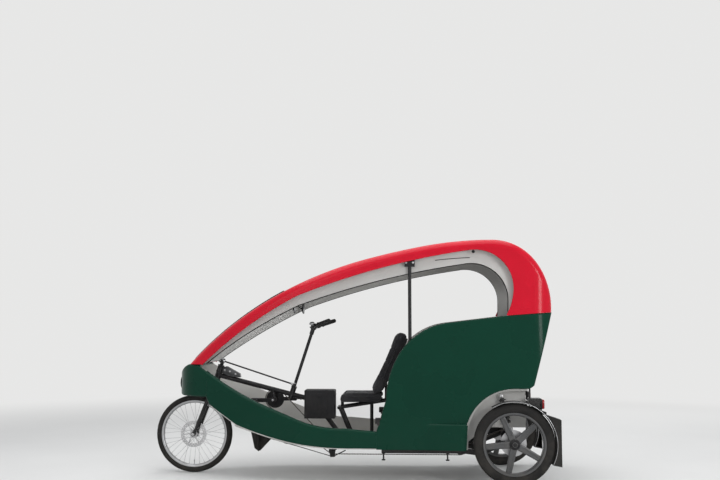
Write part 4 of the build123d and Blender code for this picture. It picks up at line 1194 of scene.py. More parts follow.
@dataclass
class Drive:
    """Roller chain, toothed chainring, crank spider and caged pedals."""

    crank: Point = (CRANK[0], CHAIN_Y, CRANK[1])
    crank_length: float = 0.16
    pedal_y: float = 0.135
    pitch: float = 0.0127
    ring_r: float = 0.0705

    def build(self) -> None:
        """Models the drive's pieces."""
        self._chain()
        self._chainring()
        for side, sign in SIDES:
            self._pedal(side, sign)

    @staticmethod
    def _tangent(first: Sequence[float], second: Sequence[float],
                 side: int) -> tuple[Vector, float]:
        """Outward normal of the common outer tangent of two wheels.

        Args:
            first: Wheel as (x, z, radius).
            second: Wheel as (x, z, radius).
            side: 1 for the lower run, -1 for the upper.

        Returns:
            The unit normal.
        """
        run = Vector(second[:2]) - Vector(first[:2])
        ahead = run.normalized()
        across = Vector((-ahead.y, ahead.x)) * side
        lean = (first[2] - second[2]) / run.length
        return ahead * lean + across * math.sqrt(1.0 - lean * lean)

    @staticmethod
    def _round(stop: Sequence[float], start: Vector, end: Vector,
               idler: bool) -> list[tuple[float, float]]:
        """Chain's middle line round a wheel.

        Args:
            stop: Wheel as (x, z, radius).
            start: Normal of the run that arrives.
            end: Normal of the run that leaves.
            idler: Whether the runs may also meet at one point, as they do over an idler.

        Returns:
            The points as (x, z).
        """
        middle, radius = Vector(stop[:2]), stop[2]
        if idler and start.x * end.y - start.y * end.x >= 0:
            return [tuple(middle + radius / (1.0 + start.dot(end)) * (start + end))]
        angle = math.atan2(start.y, start.x)
        whole = (angle - math.atan2(end.y, end.x)) % math.tau
        count = max(2, int(whole * radius / 0.006) + 1)
        turns = [angle - whole * index / count for index in range(count + 1)]
        return [(middle.x + radius * math.cos(turn), middle.y + radius * math.sin(turn))
                for turn in turns]

    def _loop(self) -> list[Vector]:
        """Chain's middle line: straight runs between the wheels and arcs round them."""
        grow = 0.0055
        stops = ((*CRANK, 0.072 + grow), (*IDLERS[0], 0.02 + grow), (*IDLERS[1], 0.02 + grow),
                 (*REAR_AXLE, 0.042 + grow))
        under, over = ([self._tangent(a, b, side) for a, b in zip(stops, stops[1:])]
                       for side in (1, -1))
        bends = ((0, over[0], under[0]), (1, under[0], under[1]), (2, under[1], under[2]),
                 (3, under[2], over[2]), (2, over[2], over[1]), (1, over[1], over[0]))
        line = [Vector(point) for number, start, end in bends
                for point in self._round(stops[number], start, end, number in (1, 2))]
        return [*line, line[0]]

    def _pins(self) -> tuple[list[Vector], float]:
        """Places of the chain's pins, evenly along its line, and their distance."""
        line = self._loop()
        lengths = [(b - a).length for a, b in zip(line, line[1:])]
        total = sum(lengths)
        count = int(round(total / self.pitch / 2)) * 2
        pins, run, index = [], 0, 0
        for number in range(count):
            goal = number * total / count
            while run + lengths[index] < goal:
                run += lengths[index]
                index += 1
            pins.append(line[index].lerp(line[index + 1], (goal - run) / lengths[index]))
        return pins, total / count

    def _chain(self) -> None:
        """Outer and inner links laid along the loop."""
        pins, step = self._pins()
        links = []
        for parity, half in ((0, 0.0026), (1, 0.0036)):
            places = []
            for number in range(parity, len(pins), 2):
                here, there = pins[number], pins[(number + 1) % len(pins)]
                run = there - here
                turn = Matrix.Rotation(-math.atan2(run.y, run.x), 4, "Y")
                places.append(Matrix.Translation((here.x, CHAIN_Y, here.y)) @ turn)
            links += Shop.copies(self._link(step, half), places)
        Shop.mount("roller_chain", links, Slot.CHAIN_STEEL, "cab", "chain")

    @staticmethod
    def _link(step: float, half: float) -> Piece:
        """Two waisted side plates and the roller at the first pin.

        Args:
            step: Distance between the pins.
            half: Distance of the plates from the chain's middle.

        Returns:
            The link, with its first pin at the origin.
        """
        pieces = [Shop.bar((0, -half - 0.0008, 0), (0, half + 0.0008, 0), 0.003, 8, 0)]
        for side in (half, -half):
            plate = Shop.bar((0, side - 0.0005, 0), (0, side + 0.0005, 0), 0.0043, 8, 0)
            Shop.choose(plate, lambda face: face.normal.x > 0.9)
            for ahead, waist in ((step / 2 - 0.003, 0.8), (step / 2 - 0.003, 1.25),
                                 (0.0028, 0.55)):
                bpy.ops.mesh.extrude_region_move(TRANSFORM_OT_translate={"value": (ahead, 0, 0)})
                bpy.ops.transform.resize(value=(1, 1, waist))
            Shop.leave()
            pieces.append(plate)
        return Shop.join(pieces)

    def _chainring(self) -> None:
        """Toothed ring with its bolts, over the CAD disc on the crank."""
        ring = Shop.lathe(((0.052, -0.0018), (0.0685, -0.0018), (0.07, 0), (0.0685, 0.0018),
                           (0.052, 0.0018), (0.05, 0), (0.052, -0.0018)),
                          at(self.crank, y=-0.0034), steps=72)
        tooth = Shop.block(at(self.crank, z=self.ring_r), (0.0062, 0.0022, 0.0062), 0.001)
        Shop.mount("chainring_teeth", [ring, *Shop.ring(tooth, 36, self.crank)],
                   Slot.CHAIN_STEEL, "crank")
        Shop.bolts("chainring_bolts", bolt_circle(at(self.crank, y=-0.002), 0.044, 5, -1),
                   "crank", across=0.008)
        Shop.bolts("crank_bolts", outward(CRANK[0], 0.081, CRANK[1]), "crank", across=0.012)

    def _pedal(self, side: str, sign: int) -> None:
        """Pedal body with a toothed cage and reflectors.

        Args:
            side: Side's name.
            sign: 1 on the left, -1 on the right.
        """
        middle = Vector((CRANK[0] + sign * self.crank_length, sign * self.pedal_y, CRANK[1]))
        parts = [Shop.bar(at(middle, y=-0.044), at(middle, y=0.044), 0.0105, 16)]
        for fore in (1, -1):
            rail = Shop.block(at(middle, fore * 0.04), (0.006, 0.09, 0.0225), 0.0016)
            Shop.choose(rail, lambda face: abs(face.normal.z) > 0.9)
            bpy.ops.mesh.subdivide(number_cuts=9)
            Shop.leave()
            parts.append(Shop.inset(
                rail, lambda face: abs(face.normal.z) > 0.9
                and round(face.center.y * 1000) % 2 == 0, (0.0006, 0.0008), each=True))
        parts += [Shop.block(at(middle, y=across), (0.078, 0.0055, 0.014), 0.0012)
                  for across in (-0.03, 0, 0.03)]
        Shop.mount("caged_" + side, parts, Slot.BLACK_PLASTIC, "pedal_" + side, "pedal_" + side)
        lenses = [Shop.block(at(middle, fore * 0.0428), (0.0018, 0.052, 0.012), 0.0006)
                  for fore in (1, -1)]
        Shop.mount("pedal_reflector_" + side, lenses, Slot.LAMP_CLEAR, "pedal_" + side)


@dataclass
class Seam:
    """Sewn channel across a pad: its line in the pad's own across and up, and its depth."""

    across: float | None
    up: float | None
    width: float = 0.007
    depth: float = 0.006


@dataclass
class Pad:
    """Upholstered pad, blown up as cloth inside the space of its CAD solid."""

    node: str
    name: str
    slot: Slot
    centre: Point
    up: Point
    out: Point
    half_across: float
    half_up: float
    seams: Sequence[Seam] = ()
    margin: float = 0.009
    voxel: float = 0.006
    pressure: float = 4.0
    reach: float = 0.024
    fill: float = 0.7
    piping: float = 0.0035
    bolster: float = 0.0

    def build(self) -> None:
        """Models the pad, its channels and its piping."""
        pad = self._blank()
        self._blow(pad)
        Shop.modify(pad, "SUBSURF", levels=1, render_levels=1)
        self._sew(pad)
        self._hold(pad)
        welt = self._welt(pad)
        Shop.mount(self.name, [pad], self.slot, "cab", self.node, crease=60.0)
        Shop.mount(self.name + "_welt", [welt], self.slot)

    def _frame(self) -> tuple[Vector, Vector, Vector, Vector]:
        """Centre, and unit directions across, up and out."""
        up, out = Vector(self.up).normalized(), Vector(self.out).normalized()
        return Vector(self.centre), Vector(ALONG_Y), up, out

    def _blank(self) -> Piece:
        """Slightly smaller copy of the CAD solid, remeshed evenly."""
        pad = bpy.data.objects.new(self.name, frame["nodes"][self.node].data.copy())
        bpy.context.scene.collection.objects.link(pad)
        Shop.pick(pad)
        bpy.ops.mesh.customdata_custom_splitnormals_clear()
        Shop.enter(pad)
        bpy.ops.mesh.remove_doubles(threshold=1e-5)
        Shop.leave()
        low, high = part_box(self.node)
        middle, size = (low + high) / 2, high - low
        for vertex in pad.data.vertices:
            for axis in range(3):
                shrink = 1.0 - 2.0 * self.margin / size[axis]
                vertex.co[axis] = middle[axis] + (vertex.co[axis] - middle[axis]) * shrink
        pad.data.remesh_voxel_size = self.voxel
        Shop.pick(pad)
        bpy.ops.object.voxel_remesh()
        if self.bolster:
            self._raise_sides(pad)
        return pad

    def _raise_sides(self, pad: Piece) -> None:
        """Hollows the middle of the front face, so that the sides stand as bolsters."""
        centre, across, _, out = self._frame()
        for vertex in pad.data.vertices:
            spot = vertex.co - centre
            share = min(abs(spot.dot(across)) / self.half_across, 1.0)
            lift = max(spot.dot(out), 0)
            dip = self.bolster * max(0, 1.0 - (share / 0.72) ** 4)
            vertex.co -= out * min(dip, lift * 0.6)

    def _blow(self, pad: Piece) -> None:
        """Runs the cloth simulation, caps how far a point moves and keeps its result."""
        before = [vertex.co.copy() for vertex in pad.data.vertices]
        Shop.pick(pad)
        cloth = pad.modifiers.new("cloth", "CLOTH")
        cloth.settings.use_pressure = True
        cloth.settings.uniform_pressure_force = self.pressure
        cloth.settings.effector_weights.gravity = 0.0
        cloth.settings.quality = 4
        scene = bpy.context.scene
        for step in range(1, 21):
            scene.frame_set(step)
        bpy.ops.object.modifier_apply(modifier="cloth")
        scene.frame_set(1)
        for vertex, start in zip(pad.data.vertices, before):
            move = vertex.co - start
            if move.length > self.reach:
                vertex.co = start + move * (self.reach / move.length)
        Shop.modify(pad, "SMOOTH", factor=0.5, iterations=4)

    def _sew(self, pad: Piece) -> None:
        """Presses the sewn channels into the outer face."""
        centre, across, up, out = self._frame()
        normals = [vertex.normal.copy() for vertex in pad.data.vertices]
        for vertex, normal in zip(pad.data.vertices, normals):
            if normal.dot(out) < 0.1:
                continue
            spot = vertex.co - centre
            press = 0.0
            for seam in self.seams:
                gap = (spot.dot(up) - seam.up if seam.across is None
                       else spot.dot(across) - seam.across)
                press = max(press, seam.depth * math.exp(-(gap / seam.width) ** 2))
            vertex.co -= normal * press

    def _hold(self, pad: Piece) -> None:
        """Keeps the pad within the space of its solid, and flat where it rests."""
        low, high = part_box(self.node)
        for vertex in pad.data.vertices:
            for axis in range(3):
                vertex.co[axis] = min(max(vertex.co[axis], low[axis]), high[axis])

    def _welt(self, pad: Piece) -> Piece:
        """Piping round the front face, laid on the pad's surface."""
        centre, across, up, out = self._frame()
        corner = min(self.half_across, self.half_up) * 0.28
        points = []
        for sign_a, sign_u, start in ((1, 1, 0), (-1, 1, 0.25), (-1, -1, 0.5), (1, -1, 0.75)):
            for index in range(9):
                turn = math.tau * (start + 0.25 * index / 8)
                side = sign_a * (self.half_across - corner) + corner * math.cos(turn)
                rise = sign_u * (self.half_up - corner) + corner * math.sin(turn)
                points.append((side, rise))
        dense = []
        for (a_side, a_rise), (b_side, b_rise) in zip(points, points[1:] + points[:1]):
            count = max(1, int(math.hypot(b_side - a_side, b_rise - a_rise) / 0.02))
            for index in range(count):
                share = index / count
                dense.append((a_side + (b_side - a_side) * share,
                              a_rise + (b_rise - a_rise) * share))
        laid = []
        for side, rise in dense:
            origin = centre + across * side + up * rise + out * 0.3
            hit, place, _, _ = pad.ray_cast(origin, -out)
            if hit:
                laid.append(place - out * self.piping * 0.3)
        return Shop.pipe(laid, self.piping, closed=True)


def canopy_top() -> list[tuple[float, float]]:
    """Canopy's top line from its foot at the nose, over the peak, to its tail."""
    peak, rise, brow = (-1.065, 1.787), (-0.52, 1.735), (-0.14, 1.649)
    lift = TangentArc(peak, rise, (1.0, 0))
    slope = TangentArc(rise, brow, lift.end_heading())
    nose = TangentArc(brow, (1.25, 0.85), slope.end_heading())
    bend = TangentArc(peak, (-1.395, 1.615), (-1.0, 0))
    tail = TangentArc((-1.395, 1.615), (-1.5, 1.246), bend.end_heading())
    front = lift.points(16) + slope.points(12)[1:] + nose.points(60)[1:]
    return front[::-1] + bend.points(20)[1:] + tail.points(16)[1:]


@dataclass
class Canopy:
    """Edges and fittings of the moulded canopy: rubber seals, lips and grips."""

    pane_inset: float = 0.058
    rail_inset: float = 0.0528
    rear_half: float = 0.3185
    stalk_x: float = 0.484
    pole_x: float = -0.45
    lip_arcs: Sequence[Profile] = (
        ((1.14, 0.85), (0.8, 1.125), (0.391, 1.373)),
        ((0.391, 1.373), (-0.24, 1.58), (-0.9, 1.712)),
        ((-0.9, 1.712), (-1.15, 1.615), (-1.22, 1.425)),
        ((-1.22, 1.425), (-1.208, 1.33), (-1.166, 1.224)),
    )
    rail_arcs: Sequence[Profile] = (
        ((1.113, 0.856), (0.76, 1.098), (0.379, 1.3)),
        ((0.379, 1.3), (-0.16, 1.466), (-0.85, 1.604)),
        ((-0.85, 1.604), (-1.085, 1.545), (-1.179, 1.366)),
        ((-1.179, 1.366), (-1.1785, 1.3), (-1.176, 1.224)),
    )

    def build(self) -> None:
        """Models the canopy's trims."""
        self._lips()
        self._screen_seal()
        self._rear_seal()
        self._fittings()

    @staticmethod
    def _along(arcs: Sequence[Profile]) -> list[tuple[float, float]]:
        """Points along arcs that follow one another."""
        line: list[tuple[float, float]] = []
        for arc in arcs:
            line += through(arc, 18)[1 if line else 0:]
        return line

    def _lips(self) -> None:
        """Rolled lip under the shell's edge, dark seal under the rail, and the rail groove's
        painted shade.
        """
        shaded_groove = ((-0.64, 1.633), (-0.78, 1.649), (-0.9, 1.652))
        for name, outline, inset, radius, slot, smooth in (
                ("shell_lip", self._along(self.lip_arcs), 0.0045, 0.0052, Slot.RED_SHELL, False),
                ("rail_seal", self._along(self.rail_arcs), self.rail_inset + 0.003, 0.0042,
                 Slot.RUBBER, False),
                # The groove is not cut: a black plastic rod on the rail's face is painted shade
                # where the groove's shadow falls.
                ("rail_groove_shade", shaded_groove, self.rail_inset - 0.0005, 0.0028, Slot.BLACK_PLASTIC,
                 True)):
            rod = Shop.pipe(PLAN.line(outline, inset), radius, smooth=smooth)
            Shop.mount(name, [rod], slot, both=True)

    def _screen_seal(self) -> None:
        """Black rubber round the windscreen, with fixing screws along its sides."""
        outline = [(x, z + 0.003) for x, z in canopy_top() if 0.5 <= x <= 1.228]
        left = PLAN.line(outline, self.pane_inset + 0.003)
        right = [Vector((spot.x, -spot.y, spot.z)) for spot in reversed(left)]
        Shop.mount("screen_seal", [Shop.pipe(left + right, 0.005, closed=True)], Slot.RUBBER)
        screws = []
        for spot, ahead in zip(left[4::8], left[5::8]):
            run = ahead - spot
            normal = Vector((run.z, 0, -run.x)).normalized()
            normal = -normal if normal.z < 0 else normal
            screws += [(Vector((spot.x, sign * (spot.y - 0.016), spot.z + 0.0018)), normal)
                       for _, sign in SIDES]
        Shop.bolts("screen_screws", screws, across=0.007)

    def _rear_seal(self) -> None:
        """Rubber round the rear window."""
        outline = [(x - 0.0028, z + 0.002) for x, z in canopy_top() if x <= -1.203 and z >= 1.303]
        left = [(x, self.rear_half, z) for x, z in outline]
        right = [(x, -self.rear_half, z) for x, z in reversed(outline)]
        Shop.mount("rear_seal", [Shop.pipe(left + right, 0.0056, closed=True)], Slot.RUBBER)

    def _fittings(self) -> None:
        """Knobs under the lip, the clamp of each mirror's stalk and the poles' bolts."""
        knob = Shop.lathe(((0, 0), (0.011, 0), (0.012, 0.004), (0.012, 0.011),
                           (0.0095, 0.014), (0, 0.0145)), (-0.924, 0.43, 1.701),
                          (0.2, 0.6, -1.0), 20)
        Shop.mount("canopy_knobs", [knob], Slot.BLACK_PLASTIC, both=True)
        side = PLAN.half_at(self.stalk_x, self.rail_inset)
        clip = Shop.block((self.stalk_x, side + 0.0035, 1.331), (0.058, 0.008, 0.016), 0.0025,
                          (0, math.radians(36.0), 0))
        Shop.inset(clip, lambda face: face.normal.y > 0.95, (0.003, -0.0015))
        hook = Shop.pipe([(0.5, side + 0.004, 1.338), (0.505, side + 0.014, 1.332),
                          (0.492, side + 0.018, 1.312), (0.478, side + 0.01, 1.3)], 0.0032,
                         smooth=True)
        Shop.mount("stalk_clips", [clip, hook], Slot.SILVER_ALLOY, both=True)
        spots = []
        for ahead in (-0.026, 0.026):
            spots += outward(self.pole_x + ahead, 0.4236, 1.615)
            spots += outward(self.pole_x + ahead * 0.8, 0.4086, 0.975, -1)
        Shop.bolts("pole_bolts", spots, across=0.011)


@dataclass
class BodyTrim:
    """Edges of the low panels, arches and rear body."""

    keel_end: tuple[float, float] = (0.533, 0.303)
    hinge: Point = (-0.217, 0.444, 0.448)
    mat: Point = (-0.415, 0, 0.2655)
    mat_size: Point = (0.35, 0.7, 0.005)

    def build(self) -> None:
        """Models the trims."""
        self._panel_lip()
        self._arch_lip()
        self._hinge()
        self._mat()

    def _panel_lip(self) -> None:
        """Pale lip along the low panel's lower edge."""
        keel = TangentArc((0.034, 0.242), self.keel_end, (1.0, 0))
        jaw = TangentArc(self.keel_end, (0.85, 0.399), keel.end_heading())
        lower = [(-0.2, 0.242), *keel.points(18), *jaw.points(12)[1:], (0.96, 0.47), (1.07, 0.54)]
        raised = [(x - 0.002, z + 0.0042) for x, z in lower]
        Shop.mount("panel_lip", [Shop.pipe(PLAN.line(raised, 0.0042), 0.0034)],
                   Slot.LIGHT_PLASTIC, both=True)

    @staticmethod
    def _arch_lip() -> None:
        """Rolled edges of the wheel opening and of the flare in front of it."""
        arch = [(-1.325, 0.692), *through(((-1.199, 0.692), (-0.972, 0.602), (-0.862, 0.44)), 22)]
        bead = Shop.pipe(PLAN.line(arch, 0.0035), 0.006)
        flare = Shop.pipe([(-0.8615, 0.486, 0.424), (-0.86, 0.4885, 0.4),
                           (-0.851, 0.4875, 0.246)], 0.0055)
        Shop.mount("arch_lip", [bead, flare], Slot.GREEN_BODY, both=True)

    def _hinge(self) -> None:
        """Folding step's hinge at the foot of each rear panel."""
        leaf = Shop.block(at(self.hinge, y=-0.006), (0.05, 0.01, 0.04), 0.003)
        pin = Shop.bar(at(self.hinge, -0.023, z=0.018), at(self.hinge, 0.023, z=0.018), 0.0075, 16)
        strap = Shop.block(at(self.hinge, y=-0.001, z=-0.02), (0.022, 0.012, 0.024), 0.003)
        Shop.mount("step_hinges", [leaf, pin, strap], Slot.BLACK_STEEL, both=True)

    def _mat(self) -> None:
        """Ribbed rubber mat in front of the bench."""
        mat = Shop.block(self.mat, self.mat_size, 0.0012)
        rib = Shop.bar(at(self.mat, -0.17, -0.34, 0.002), at(self.mat, -0.17, 0.34, 0.002),
                       0.0028, 8, 0.0005)
        Shop.mount("floor_mat", [mat, *Shop.row(rib, 24, (0.0145, 0, 0))], Slot.RUBBER)


@dataclass
class Steering:
    """Grips, levers, bell and clamp on the bar, head bearings and rod ends."""

    tilt: float = math.radians(18.0)
    column_foot: Point = (0.47, 0, 0.64)
    bar_at: float = 0.52
    arm: float = 0.05
    fork_offset: float = 0.03

    def build(self) -> None:
        """Models the steering's fittings."""
        self._grips()
        self._clamp()
        self._head()
        self._rod_ends()

    @property
    def up(self) -> Vector:
        """Direction of both steering axes."""
        return Vector((-math.sin(self.tilt), 0, math.cos(self.tilt)))

    @property
    def out(self) -> Vector:
        """Direction square to the steering axes, ahead and up."""
        return Vector((math.cos(self.tilt), 0, math.sin(self.tilt)))

    def on_column(self, height: float) -> Vector:
        """Point on the handlebar column's axis."""
        return Vector(self.column_foot) + self.up * height

    def on_head(self, height: float) -> Vector:
        """Point on the fork's steering axis."""
        return Vector(FRONT_AXLE) - self.out * self.fork_offset + self.up * height

    def bar_end(self, sign: int) -> tuple[Vector, Vector]:
        """End of the bar on one side, and the direction in which the bar runs from it."""
        centre = self.on_column(self.bar_at)
        end = at(centre, -0.145, sign * 0.27, 0.05)
        return end, (at(centre, y=sign * 0.13) - end).normalized()

    @staticmethod
    def _grip(end: Vector, inward: Vector) -> Piece:
        """Ribbed grip with its end plug.

        Args:
            end: End of the bar.
            inward: Direction along the bar.

        Returns:
            The grip.
        """
        profile = [(0.0112, 0.004), (0.0112, 0.132), (0.0185, 0.132), (0.0195, 0.129),
                   (0.0185, 0.126)]
        for index in range(14):
            along = 0.122 - index * 0.0082
            profile += [(0.0152, along), (0.0164, along - 0.0022), (0.0164, along - 0.0046),
                        (0.0152, along - 0.0068)]
        profile += [(0.0158, 0.0005), (0.014, -0.003), (0.007, -0.0036), (0, -0.0036),
                    (0, 0.004), (0.0112, 0.004)]
        return Shop.lathe(profile, end, inward, 28)

    @staticmethod
    def _lever(end: Vector, inward: Vector) -> list[Piece]:
        """Brake lever with its collar and barrel.

        Args:
            end: End of the bar.
            inward: Direction along the bar.

        Returns:
            The lever's parts.
        """
        ahead = Vector((0.8, 0, -0.4))
        ahead = (ahead - inward * ahead.dot(inward)).normalized()
        base = end + inward * 0.172
        path = [base + ahead * out - inward * back for out, back in (
            (0.036, -0.006), (0.04, 0.03), (0.046, 0.075), (0.04, 0.12), (0.03, 0.152))]
        tip = ((0, -0.006), (0.004, -0.0045), (0.006, 0), (0.004, 0.0045), (0, 0.006))
        return [Shop.lathe(band(0.0129, 0.0185, 0.0195, 0.009), base, inward, 28),
                Shop.bar(base + ahead * 0.014, base + ahead * 0.04 - inward * 0.004, 0.0085, 18),
                Shop.pipe(path, 0.0042, smooth=True),
                Shop.lathe(tip, path[-1], inward, 14)]

    def _grips(self) -> None:
        """Grips, brake levers and the bell."""
        ends = [self.bar_end(sign) for _, sign in SIDES]
        Shop.mount("bar_grips", [self._grip(*end) for end in ends], Slot.RUBBER, "handlebar")
        Shop.mount("brake_levers", [part for end in ends for part in self._lever(*end)],
                   Slot.BLACK_STEEL, "handlebar")
        bell = Shop.lathe(((0, 0), (0.005, 0), (0.005, 0.006), (0.0225, 0.006),
                           (0.0235, 0.01), (0.0215, 0.018), (0.016, 0.0245), (0.008, 0.0275),
                           (0, 0.028)),
                          at(self.on_column(self.bar_at), 0.004, 0.085, 0.0135), ALONG_Z, 36)
        Shop.mount("bell", [bell], Slot.SILVER_ALLOY, "handlebar")

    def _clamp(self) -> None:
        """Split clamp that holds the bar on the column."""
        centre = self.on_column(self.bar_at)
        halves = [Shop.block(centre + self.out * shift, (0.02, 0.046, 0.036), 0.004,
                             (0, -self.tilt, 0)) for shift in (0.0125, -0.0125)]
        sleeve = Shop.bar(centre - self.up * 0.06, centre - self.up * 0.012, 0.0165, 28)
        Shop.mount("bar_clamp", [*halves, sleeve], Slot.BLACK_STEEL, "handlebar")
        heads = [(at(centre + self.out * 0.0225 + self.up * rise, y=aside), self.out)
                 for aside in (0.015, -0.015) for rise in (0.011, -0.011)]
        Shop.bolts("clamp_bolts", heads, "handlebar", across=0.007)

    def _head(self) -> None:
        """Head bearing cups, the nut over them and the column's collar."""
        cup = ((0.0153, 0), (0.0245, 0), (0.0275, 0.003), (0.0275, 0.009), (0.024, 0.0125),
               (0.0153, 0.0125), (0.0153, 0))
        cups = [Shop.lathe(cup, self.on_head(height), self.up * sign, 40)
                for height, sign in ((0.42, -1), (0.56, 1))]
        cups += [Shop.lathe(band(0.0238, 0.0262, 0.027, 0.0045), self.on_head(height), self.up,
                            36) for height in (0.46, 0.52)]
        Shop.mount("head_cups", cups, Slot.BLACK_STEEL)
        nut = Shop.bar(self.on_head(0.616), self.on_head(0.626), 0.017, 6, 0.0015)
        Shop.mount("steerer_nut", [nut], Slot.SILVER_ALLOY, "fork")
        collar = Shop.lathe(((0.0127, 0), (0.0225, 0), (0.0235, 0.003), (0.0225, 0.01),
                             (0.0165, 0.014), (0.0127, 0.014), (0.0127, 0)),
                            self.on_column(0.0203), self.up, 40)
        Shop.mount("column_collar", [collar], Slot.BLACK_STEEL, "handlebar")

    def _rod_ends(self) -> None:
        """Nuts on the link's two joints, and lock nuts on the rod."""
        back, front = at(self.on_column(0.048), y=self.arm), at(self.on_head(0.612), y=self.arm)
        run = (front - back).normalized()
        parts = []
        for end, along in ((back, run), (front, -run)):
            start = end + along * 0.02
            parts += [Shop.hex_bolt(end + self.up * 0.0078, self.up, 0.012),
                      Shop.bar(start, start + along * 0.008, 0.0092, 6, 0.0008),
                      Shop.bar(end + along * 0.008, start, 0.0078, 18)]
        Shop.mount("rod_joints", parts, Slot.DISC_STEEL, "steering_rod")


@dataclass
class Lamps:
    """Headlamp in the nose, and ribbed tail lamps."""

    nose: Point = (1.35095, 0, 0.7)
    tail_y: float = 0.385
    tail_z: float = 0.575

    def build(self) -> None:
        """Models the lamps."""
        self._nose()
        self._tail()

    def _nose(self) -> None:
        """Bezel, reflector bowl and ringed lens."""
        bezel = ((0.0395, -0.044), (0.0448, -0.044), (0.0448, -0.004), (0.048, 0.0005),
                 (0.0472, 0.0045), (0.043, 0.0062), (0.0395, 0.003), (0.0395, -0.044))
        bowl = ((0, -0.042), (0.006, -0.042), (0.006, -0.03), (0.011, -0.031),
                (0.023, -0.025), (0.033, -0.013), (0.039, 0), (0.0394, -0.043),
                (0, -0.044))
        lens = [(0, 0.006), (0.008, 0.0058)]
        for index in range(6):
            ring, depth = 0.011 + index * 0.0046, 0.0056 - index * 0.0006
            lens += [(ring, depth - 0.0008), (ring + 0.0023, depth + 0.0004)]
        lens += [(0.0392, 0.001), (0.0392, -0.0012), (0.02, 0.001), (0, 0.002)]
        for name, section, steps, slot, replaced in (
                ("lamp_bezel", bezel, 56, Slot.BLACK_PLASTIC, ()),
                ("lamp_bowl", bowl, 48, Slot.SILVER_ALLOY, ()),
                ("lamp_lens", lens, 56, Slot.LAMP_CLEAR, ("headlamp",))):
            Shop.mount(name, [Shop.lathe(section, self.nose, ALONG_X, steps)], slot, "cab",
                       *replaced)

    def _tail(self) -> None:
        """Ribbed red lens on a black base."""
        base = Shop.block((-1.4065, self.tail_y, self.tail_z), (0.013, 0.11, 0.074), 0.004)
        Shop.mount("tail_bases", [base], Slot.BLACK_PLASTIC, both=True)
        lens = Shop.block((-1.4195, self.tail_y, self.tail_z), (0.018, 0.104, 0.068), 0.0065)
        Shop.inset(lens, lambda face: face.normal.x < -0.95, (0.005, 0), (0.0012, -0.0016))
        rib = Shop.block((-1.428, self.tail_y - 0.045, self.tail_z), (0.0026, 0.0022, 0.05), 0.0008)
        Shop.mount("tail_lenses", [lens, *Shop.row(rib, 15, (0, 0.0064, 0))], Slot.LAMP_RED,
                   "cab", "tail_lamps", both=True)


@dataclass
class Mirrors:
    """Round mirrors in domed housings on bent stalks."""

    spot: Point = (0.426, 0.3, 1.283)
    ball: Point = (0.44, 0.302, 1.285)
    radius: float = 0.0415

    def build(self) -> None:
        """Models both mirrors."""
        r = self.radius
        shell = Shop.lathe((
            (r - 0.003, -0.005), (r, -0.0055), (r + 0.0005, -0.003), (r - 0.001, 0.003),
            (r - 0.01, 0.0085), (r - 0.025, 0.0115), (0, 0.0125), (0, 0.01),
            (r - 0.0255, 0.009), (r - 0.0105, 0.006), (r - 0.003, -0.001),
            (r - 0.003, -0.005)), self.spot, ALONG_X, 48)
        ball = Shop.lathe(((0, -0.008), (0.006, -0.006), (0.0085, 0), (0.006, 0.006),
                           (0, 0.008)), self.ball, (1.0, 0.4, 0.6), 20)
        stalk = Shop.pipe([self.ball, (0.456, 0.312, 1.29), (0.476, 0.332, 1.308),
                           (0.5, 0.35, 1.335)], 0.0046, smooth=True)
        Shop.mount("mirror_housings", [shell, ball, stalk], Slot.MIRROR_BLACK, "cab", "mirrors",
                   both=True)
        glass = Shop.lathe(((0, -0.0042), (r - 0.0032, -0.0036), (r - 0.0032, -0.0016),
                            (0, -0.002)), self.spot, ALONG_X, 48)
        Shop.mount("mirror_glass", [glass], Slot.SILVER_ALLOY, both=True)


